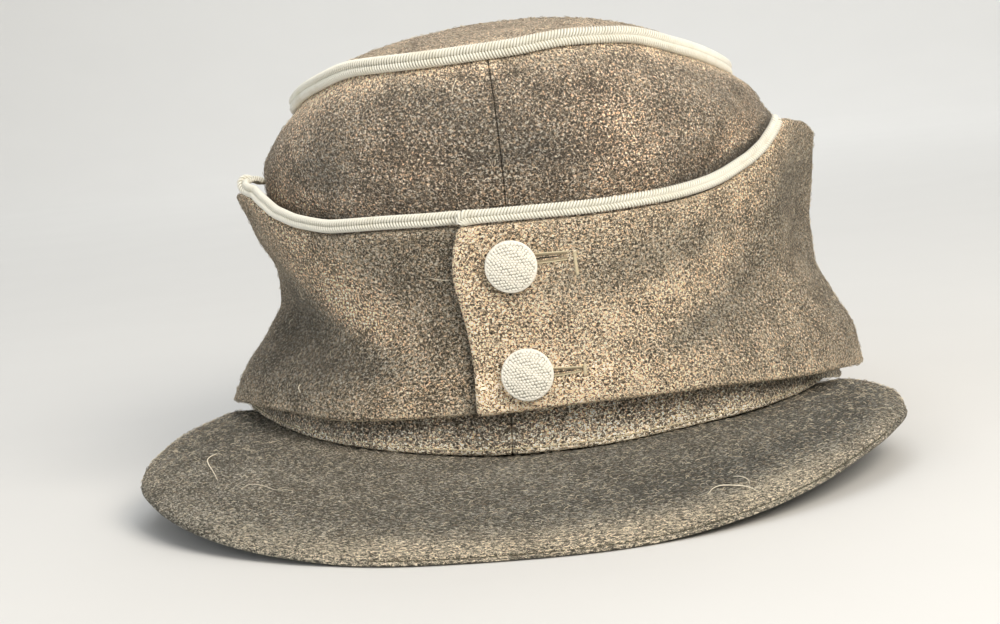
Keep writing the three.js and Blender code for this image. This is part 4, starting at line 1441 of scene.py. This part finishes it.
def make_peak_stitches():
    """Stitches sunk in the seam round the peak's edge, where the seam shows."""
    inward = 0.75
    turns = np.linspace(PEAK_SEAM_SHOWN[0] + 1, PEAK_SEAM_SHOWN[1] - 1, 1200)
    reach, rim = peak_edge(turns)
    line = peak_point(turns, 1 - inward / reach, PEAK_SEAM_DEPTH * rim)
    return seam_stitches(
        "peak_seam_stitches", line,
        made_material("cotton_thread_olive", sewing_thread, shade="thread_olive"),
        apart=1.25, thread=size("thread") * 0.8, rise=0.2,
        away_from=lambda middle: middle * (1, 1, 0) + (0, 30, 0),
    )


def make_buttonholes(carrier):
    """Worked buttonholes: close stitches over each lip of the slit, a cord along them, and a bar tack."""
    cord = made_material("buttonhole_gimp_tan", sewing_thread, shade="thread_tan")
    twist = made_material("buttonhole_twist_brown", sewing_thread, shade="thread_brown")
    thread = size("thread")
    spacing = thread * 0.9
    gimp_height, slit_share, slit_radius, sunk, tack_height, tack_length = 0.14, 0.8, 0.13, 0.02, 0.1, 0.62
    parts = []
    for name, hole in BUTTONHOLES.items():
        lips = {}
        for side in ("above", "below"):
            points, normals = surface_under(carrier, hole[side])
            lips[side] = even_path(smooth_path(points, 8), spacing)
            normal = unit(normals.mean(0))
            gimp = lips[side] + normal * gimp_height
            parts.append(tube(f"gimp_{name}_{side}", gimp, thread * 0.5, 6, cord))
        middle = (lips["above"][: len(lips["below"])] + lips["below"][: len(lips["above"])]) / 2
        # A nearly black tube along the slit: painted shadow in it
        slit = middle[: int(slit_share * len(middle))] + normal * sunk
        parts.append(tube(f"slit_{name}", slit, slit_radius, 6, made_material("cut_wool_edge", cut_wool)))
        for side, row in lips.items():
            row = row[: len(middle)]
            across = unit(middle[: len(row)] - row)
            facing = np.tile(normal, (len(row), 1))
            reach = 0.5 * np.linalg.norm(middle - row, axis=1).mean()
            row = row + across * reach / 2 + normal * sunk
            label = f"purl_{name}_{side}"
            parts.append(stitch_row(label, row, across, facing, reach, spacing, 0.3, twist))
        points, normals = surface_under(carrier, hole["tack"])
        bar = even_path(smooth_path(points, 8), spacing)
        along, _, _ = path_frames(bar)
        normal = unit(normals.mean(0))
        facing = np.tile(normal, (len(bar), 1))
        parts.append(stitch_row(
            f"tack_{name}", bar + normal * tack_height, np.cross(facing, along), facing, tack_length,
            thread, 0.34, cord,
        ))
    return joined("worked_buttonholes", parts)


def fibre_tree():
    """Geometry Nodes tree that scatters bent loose fibres over the cloth where its fuzz mark says."""
    found = bpy.data.node_groups.get("loose_fibres")
    if found:
        return found
    tree, given = new_tree(
        "loose_fibres", ("Fibres per square metre", "Length", "Width", "Lift", "Spread"), ("Seed",)
    )
    fuzz = add_node(tree, "GeometryNodeInputNamedAttribute", {"Name": "fuzz"}, data_type="FLOAT")
    density = add_node(tree, "ShaderNodeMath", {
        0: fuzz, 1: given["Fibres per square metre"],
    }, operation="MULTIPLY")
    back = add_node(tree, "ShaderNodeMath", {0: given["Spread"], 1: -1.0}, operation="MULTIPLY")
    radius = add_node(tree, "ShaderNodeMath", {0: given["Width"], 1: 0.5}, operation="MULTIPLY")
    off_lie, coin, lean, grown, shade = (
        add_node(tree, "FunctionNodeRandomValue", {
            "Min": least, "Max": most, "Seed": seed,
        }, data_type="FLOAT").outputs["Value"]
        for least, most, seed in (
            (back, given["Spread"], 3), (-1.0, 1.0, 8), (-0.5, 0.15, 4), (0.35, 1.6, 5), (0.0, 1.0, 6),
        )
    )
    spots = add_node(tree, "GeometryNodeDistributePointsOnFaces", {
        "Mesh": given["Geometry"], "Density": density, "Seed": given["Seed"],
    }, distribute_method="RANDOM")
    turned = add_node(tree, "FunctionNodeAxesToRotation", {
        "Primary Axis": spots.outputs["Normal"], "Secondary Axis": (1.0, 0.05, 0.0),
    }, primary_axis="Z", secondary_axis="X")
    flipped = add_node(tree, "ShaderNodeMath", {0: coin, 1: 0.0}, operation="GREATER_THAN")
    spin = add_node(tree, "ShaderNodeMath", {0: flipped, 1: math.pi, 2: off_lie}, operation="MULTIPLY_ADD")
    twist = add_node(tree, "ShaderNodeCombineXYZ", {"Y": lean, "Z": spin})
    laid = add_node(tree, "FunctionNodeRotateRotation", {
        "Rotation": turned, "Rotate By": twist,
    }, rotation_space="LOCAL")
    start, crest, end = (
        add_node(tree, "ShaderNodeVectorMath", {0: side, "Scale": given["Length"]}, operation="SCALE")
        for side in ((-0.5, 0, 0), (0, 0.22, 0), (0.5, 0, 0))
    )
    raised = add_node(tree, "ShaderNodeCombineXYZ", {"Z": given["Lift"]})
    middle = add_node(tree, "ShaderNodeVectorMath", {0: crest, 1: raised}, operation="ADD")
    path = add_node(tree, "GeometryNodeCurveQuadraticBezier", {
        "Resolution": 3, "Start": start, "Middle": middle, "End": end,
    })
    grown_fibres = add_node(tree, "GeometryNodeInstanceOnPoints", {
        "Points": spots, "Instance": swept(tree, path, 3, radius), "Rotation": laid, "Scale": grown,
    })
    toned = add_node(tree, "GeometryNodeStoreNamedAttribute", {
        "Geometry": grown_fibres, "Name": "tone", "Value": shade,
    }, data_type="FLOAT", domain="INSTANCE")
    finish_tree(tree, toned, given["Material"])
    return tree


def make_fibres(cloth, seed, count, turned, length):
    """Loose fibres on a piece of cloth."""
    area = 0.0
    fuzz = cloth.data.attributes["fuzz"].data
    for face in cloth.data.polygons:
        area += face.area * sum(fuzz[i].value for i in face.vertices) / len(face.vertices)
    mesh = grown_mesh(cloth, fibre_tree(), made_material("loose_wool_fibre", loose_wool), {
        "Fibres per square metre": count / area,
        "Length": length * MM,
        "Width": size("fibre_width") * MM,
        "Lift": size("fibre_lift") * MM,
        "Spread": math.radians(turned),
        "Seed": seed,
    })
    mesh.name = cloth.name + "_fibres"
    return linked(mesh.name, mesh)


def make_lint():
    """The few hairs and threads caught on the cloth."""
    parts = []
    for i, (cloth, width, pixels) in enumerate(LINT):
        points, normals = surface_under(bpy.data.objects[cloth], pixels)
        lifted = points + normals * (0.12 + 0.3 * np.sin(np.linspace(0, math.pi, len(points)))[:, None])
        path = smooth_path(lifted, 5)
        taper = width / 2 * (0.35 + 0.65 * np.sin(np.linspace(0.15, math.pi - 0.15, len(path))))
        parts.append(tube(f"hair_{i}", path, taper, 5, made_material("stray_hair", stray_hair)))
    return joined("stray_hairs", parts)


def make_floor():
    """Round sweep of paper: flat under the cap, rising all round it."""
    flat, rise, wide = 1.5, 1.5, 0.8
    climb = np.radians(np.linspace(6, 90, 15))
    radius = np.concatenate((np.linspace(0, flat, 16)[1:], flat + wide * np.sin(climb)))
    height = np.concatenate((np.zeros(15), rise * (1 - np.cos(climb))))
    spin = np.radians(np.linspace(0, 360, 97)[:-1])
    x = radius[:, None] * np.cos(spin)
    y = radius[:, None] * np.sin(spin)
    z = np.broadcast_to(height[:, None], x.shape)
    corners = [(0.0, 0.0, 0.0)] + np.stack((x, y, z), -1).reshape(-1, 3).tolist()
    count = len(spin)
    faces = [(0, 1 + k, 1 + (k + 1) % count) for k in range(count)]
    for ring in range(len(radius) - 1):
        for k in range(count):
            a, b = 1 + ring * count + k, 1 + ring * count + (k + 1) % count
            faces.append((a, a + count, b + count, b))
    mesh = bpy.data.meshes.new("paper_sweep")
    mesh.from_pydata(corners, [], faces)
    mesh.polygons.foreach_set("use_smooth", [True] * len(mesh.polygons))
    mesh.materials.append(made_material("seamless_paper", studio_paper))
    return linked("paper_sweep", mesh)


def make_light(name, azimuth, elevation, distance, width, watts, shade):
    """Square soft box that faces the cap."""
    azimuth, elevation = math.radians(azimuth), math.radians(elevation)
    level = math.cos(elevation)
    way = Vector((math.sin(azimuth) * level, -math.cos(azimuth) * level, math.sin(elevation)))
    lamp = bpy.data.lights.new(name, "AREA")
    lamp.shape = "SQUARE"
    lamp.size = width
    lamp.energy = watts
    lamp.color = linear(shade)[:3]
    made = linked(name, lamp)
    aim = Vector((0, 0, 0.05))
    made.location = aim + way * distance
    made.rotation_euler = way.to_track_quat("Z", "Y").to_euler()


def make_camera():
    """Camera at the photograph's place beside the cap."""
    right, up, back, place = camera_frame()
    lens = bpy.data.cameras.new("photo_camera")
    lens.sensor_width = SENSOR_WIDTH
    lens.lens = PHOTO["focal"] * SENSOR_WIDTH / PHOTO["width"]
    lens.clip_start = 0.01
    made = linked("photo_camera", lens)
    axes = Matrix((right, up, back)).transposed().to_4x4()
    axes.translation = place * MM
    made.matrix_world = axes
    bpy.context.scene.camera = made


def length(label, about, millimetres):
    """Property for a length."""
    return bpy.props.FloatProperty(
        name=label, description=about, default=millimetres * MM, min=0.0, precision=5, unit="LENGTH"
    )


def shade(label, about, code):
    """Property for a colour, given as sRGB hex."""
    return bpy.props.FloatVectorProperty(
        name=label, description=about, default=linear(code), size=4, min=0.0, max=1.0, subtype="COLOR"
    )


class CapSizes(bpy.types.PropertyGroup):
    """Sizes of cloth, braid, buttons and stitches."""

    turn_up_cloth: length("Turn-up cloth", "Thickness of the doubled cloth", 2.6)
    crown_cloth: length("Crown cloth", "Thickness of the crown wall", 2.2)
    peak_thickness: length("Peak", "Thickness of the covered peak", 3.6)
    braid_width: length("Braid width", "Width over both ridges", 3.35)
    crown_braid_width: length("Crown braid width", "Width over both ridges round the crown", 4.2)
    strand_width: length("Strand width", "Width of one strand of the braid", 0.5)
    strand_spacing: length("Strand spacing", "Distance between strands along the braid", 0.74)
    strand_slant: length("Strand slant", "How far a strand runs along while it crosses its ridge", 1.4)
    button_diameter: length("Button diameter", "Diameter over the rim", 12.0)
    pebble_spacing: length("Pebble spacing", "Distance between grains of the buttons", 0.74)
    stitch_length: length("Stitch length", "Length of one stitch", 1.6)
    thread: length("Thread", "Thickness of the sewing thread", 0.34)
    fibre_width: length("Fibre width", "Drawn thicker than the real 0.03 mm, so that it shows", 0.09)
    fibre_lift: length("Fibre lift", "How far a loose fibre stands off the cloth", 0.4)


class CapColours(bpy.types.PropertyGroup):
    """Colours of cloth, braid, metal, thread and paper."""

    wool_deep: shade("Wool, deep", "Crown and turn-up in the hollows between fibres", "#251f18")
    wool_middle: shade("Crown, middle", "Ground of the crown cloth", "#7a6c5c")
    turn_up_middle: shade("Turn-up, middle", "Ground of the turn-up", "#84765f")
    wool_fleck: shade("Wool, fibres", "Pale fibres on crown and turn-up", "#fbf0dd")
    wool_ginger: shade("Wool, ginger fibres", "Fibres on crown and turn-up whose dye has faded", "#f0cba4")
    wool_rubbed: shade("Wool, rubbed", "Fibres where crown and turn-up are rubbed", "#fdeacb")
    # Both tints follow the cloth's tone, so they also tint its painted light and shade
    greyed: shade("Greyed", "Tint of dark, unworn cloth", "#eff7fd")
    warmed: shade("Warmed", "Tint of pale, faded cloth", "#fffcf9")
    peak_deep: shade("Peak, deep", "Ground of the peak in its hollows", "#35322a")
    peak_middle: shade("Peak, middle", "Ground of the peak", "#777366")
    peak_fleck: shade("Peak, fibres", "Pale fibres of the peak's nap", "#d0cabe")
    peak_rubbed: shade("Peak, rubbed", "Fibres along the peak's front edge", "#efdfc2")
    fibre: shade("Loose fibre", "Loose fibres on all the cloth", "#f2e6cc")
    braid: shade("Braid", "Cream thread of the braid", "#f0eee2")
    braid_soiled: shade("Braid, soiled", "Where the braid is soiled", "#e2ddca")
    # The cores' darker colour is painted shade between the strands
    braid_gap: shade("Braid, gaps", "Cores between the strands", "#827c6c")
    button: shade("Button", "Pale lacquer", "#f2eee2")
    button_washed: shade("Button, washed", "Where the lacquer has greyed", "#ece8db")
    button_dirt: shade("Button, dirt", "Dirt between the grains", "#a8a69e")
    thread_tan: shade("Tan thread", "Thread of the rim and cord of the buttonholes", "#e8dab8")
    thread_brown: shade("Brown thread", "Buttonhole twist", "#b3a588")
    thread_olive: shade("Olive thread", "Thread of the peak's seam", "#6c6653")
    # Painted shadow in the buttonholes' slits
    slit: shade("Slit", "Depth of a buttonhole's slit", "#14110c")
    hair: shade("Hair", "Stray hairs", "#fbf4e2")
    floor: shade("Paper", "Floor and sweep", "#dededc")
    room: shade("Room light", "Colour of the light from all round", "#fffefb")


class FIELDCAP_OT_stage(bpy.types.Operator):
    """Makes the paper sweep, the soft light and the camera"""

    bl_idname = "fieldcap.stage"
    bl_label = "Stage"

    def execute(self, context):
        make_floor()
        for name, plan in LIGHTS.items():
            make_light(name, *plan)
        make_camera()
        world = bpy.data.worlds.new("soft_room")
        world.use_nodes = True
        sky = world.node_tree.nodes["Background"]
        sky.inputs["Color"].default_value = colour("room")
        sky.inputs["Strength"].default_value = ROOM_LIGHT
        context.scene.world = world
        context.scene.view_settings.view_transform = "Standard"
        return {"FINISHED"}


class FIELDCAP_OT_crown(bpy.types.Operator):
    """Makes both halves of the crown wall and the top panel"""

    bl_idname = "fieldcap.crown"
    bl_label = "Crown"

    def execute(self, context):
        settle(make_crown_wall("wool_crown_left", -1), "crown_cloth", "crown_side_left")
        settle(make_crown_wall("wool_crown_right", 1), "crown_cloth", "crown_side_right")
        settle(make_crown_top(), "crown_cloth", "crown_top")
        return {"FINISHED"}


class FIELDCAP_OT_turn_up(bpy.types.Operator):
    """Makes the turn-up"""

    bl_idname = "fieldcap.turn_up"
    bl_label = "Turn-up"

    def execute(self, context):
        settle(make_turn_up(), "turn_up_cloth", "turn_up")
        return {"FINISHED"}


class FIELDCAP_OT_peak(bpy.types.Operator):
    """Makes the peak"""

    bl_idname = "fieldcap.peak"
    bl_label = "Peak"

    def execute(self, context):
        settle(make_peak(), "peak_cloth", "peak")
        return {"FINISHED"}


class FIELDCAP_OT_braids(bpy.types.Operator):
    """Makes the braid round the crown and on the turn-up's front edges"""

    bl_idname = "fieldcap.braids"
    bl_label = "Braids"

    def execute(self, context):
        crown = braid("braid_crown", crown_piping_path(), size("crown_braid_width"), closed=True)
        settle(crown, "braid", "crown_piping")
        width = size("braid_width")
        right = edge_piping_path(OVERLAP["start"] + 1.5, 59.0)
        right = turned_end(right, 2.4, 40, np.array((0.0, -0.2, -1.0)))
        right = turned_end(right[::-1], 1.2, 20, np.array((0.0, 0.0, 1.0)))[::-1]
        settle(braid("braid_turn_up_right", right, width, 0.5, 0.2), "braid", "turn_up_piping_right")
        left = curled_end(edge_piping_path(-54.5, OVERLAP["start"] - 0.3))
        settle(braid("braid_turn_up_left", left, width, 0.8, 0.15, 1.0), "braid", "turn_up_piping_left")
        return {"FINISHED"}


class FIELDCAP_OT_buttons(bpy.types.Operator):
    """Makes the two pebbled buttons"""

    bl_idname = "fieldcap.buttons"
    bl_label = "Buttons"

    def execute(self, context):
        for name in BUTTONS:
            settle(make_button(name), "button_metal", name)
        return {"FINISHED"}


class FIELDCAP_OT_stitches(bpy.types.Operator):
    """Makes the stitches of rim and peak and the worked buttonholes"""

    bl_idname = "fieldcap.stitches"
    bl_label = "Stitches and buttonholes"

    def execute(self, context):
        settle(make_rim_stitches(), "crown_cloth")
        settle(make_peak_stitches(), "peak_cloth")
        settle(make_buttonholes(bpy.data.objects["wool_turn_up"]), "turn_up_cloth")
        return {"FINISHED"}


class FIELDCAP_OT_fibres(bpy.types.Operator):
    """Makes the loose fibres on the cloth and the hairs caught on it"""

    bl_idname = "fieldcap.fibres"
    bl_label = "Fibres and hairs"

    def execute(self, context):
        for seed, (cloth, (*plan, slot)) in enumerate(FIBRES.items(), 1):
            settle(make_fibres(bpy.data.objects[cloth], seed, *plan), slot)
        settle(make_lint(), "peak_cloth")
        return {"FINISHED"}


class FIELDCAP_PT_panel(bpy.types.Panel):
    """Lists the pieces of the cap with their sizes and colours"""

    bl_idname = "FIELDCAP_PT_panel"
    bl_label = "Field cap"
    bl_space_type = "VIEW_3D"
    bl_region_type = "UI"
    bl_category = "Field cap"

    def draw(self, context):
        for operator in OPERATORS:
            self.layout.operator(operator.bl_idname)
        for group in (context.scene.field_cap_sizes, context.scene.field_cap_colours):
            column = self.layout.column()
            for name in group.__annotations__:
                column.prop(group, name)


OPERATORS = (
    FIELDCAP_OT_stage,
    FIELDCAP_OT_crown,
    FIELDCAP_OT_turn_up,
    FIELDCAP_OT_peak,
    FIELDCAP_OT_braids,
    FIELDCAP_OT_buttons,
    FIELDCAP_OT_stitches,
    FIELDCAP_OT_fibres,
)
CLASSES = (CapSizes, CapColours) + OPERATORS + (FIELDCAP_PT_panel,)


def register():
    for made in CLASSES:
        bpy.utils.register_class(made)
    bpy.types.Scene.field_cap_sizes = bpy.props.PointerProperty(type=CapSizes)
    bpy.types.Scene.field_cap_colours = bpy.props.PointerProperty(type=CapColours)


def unregister():
    del bpy.types.Scene.field_cap_colours
    del bpy.types.Scene.field_cap_sizes
    for made in reversed(CLASSES):
        bpy.utils.unregister_class(made)


def main():
    """Makes the whole cap."""
    register()
    for operator in OPERATORS:
        group, name = operator.bl_idname.split(".")
        getattr(getattr(bpy.ops, group), name)()


if __name__ == "__main__":
    main()
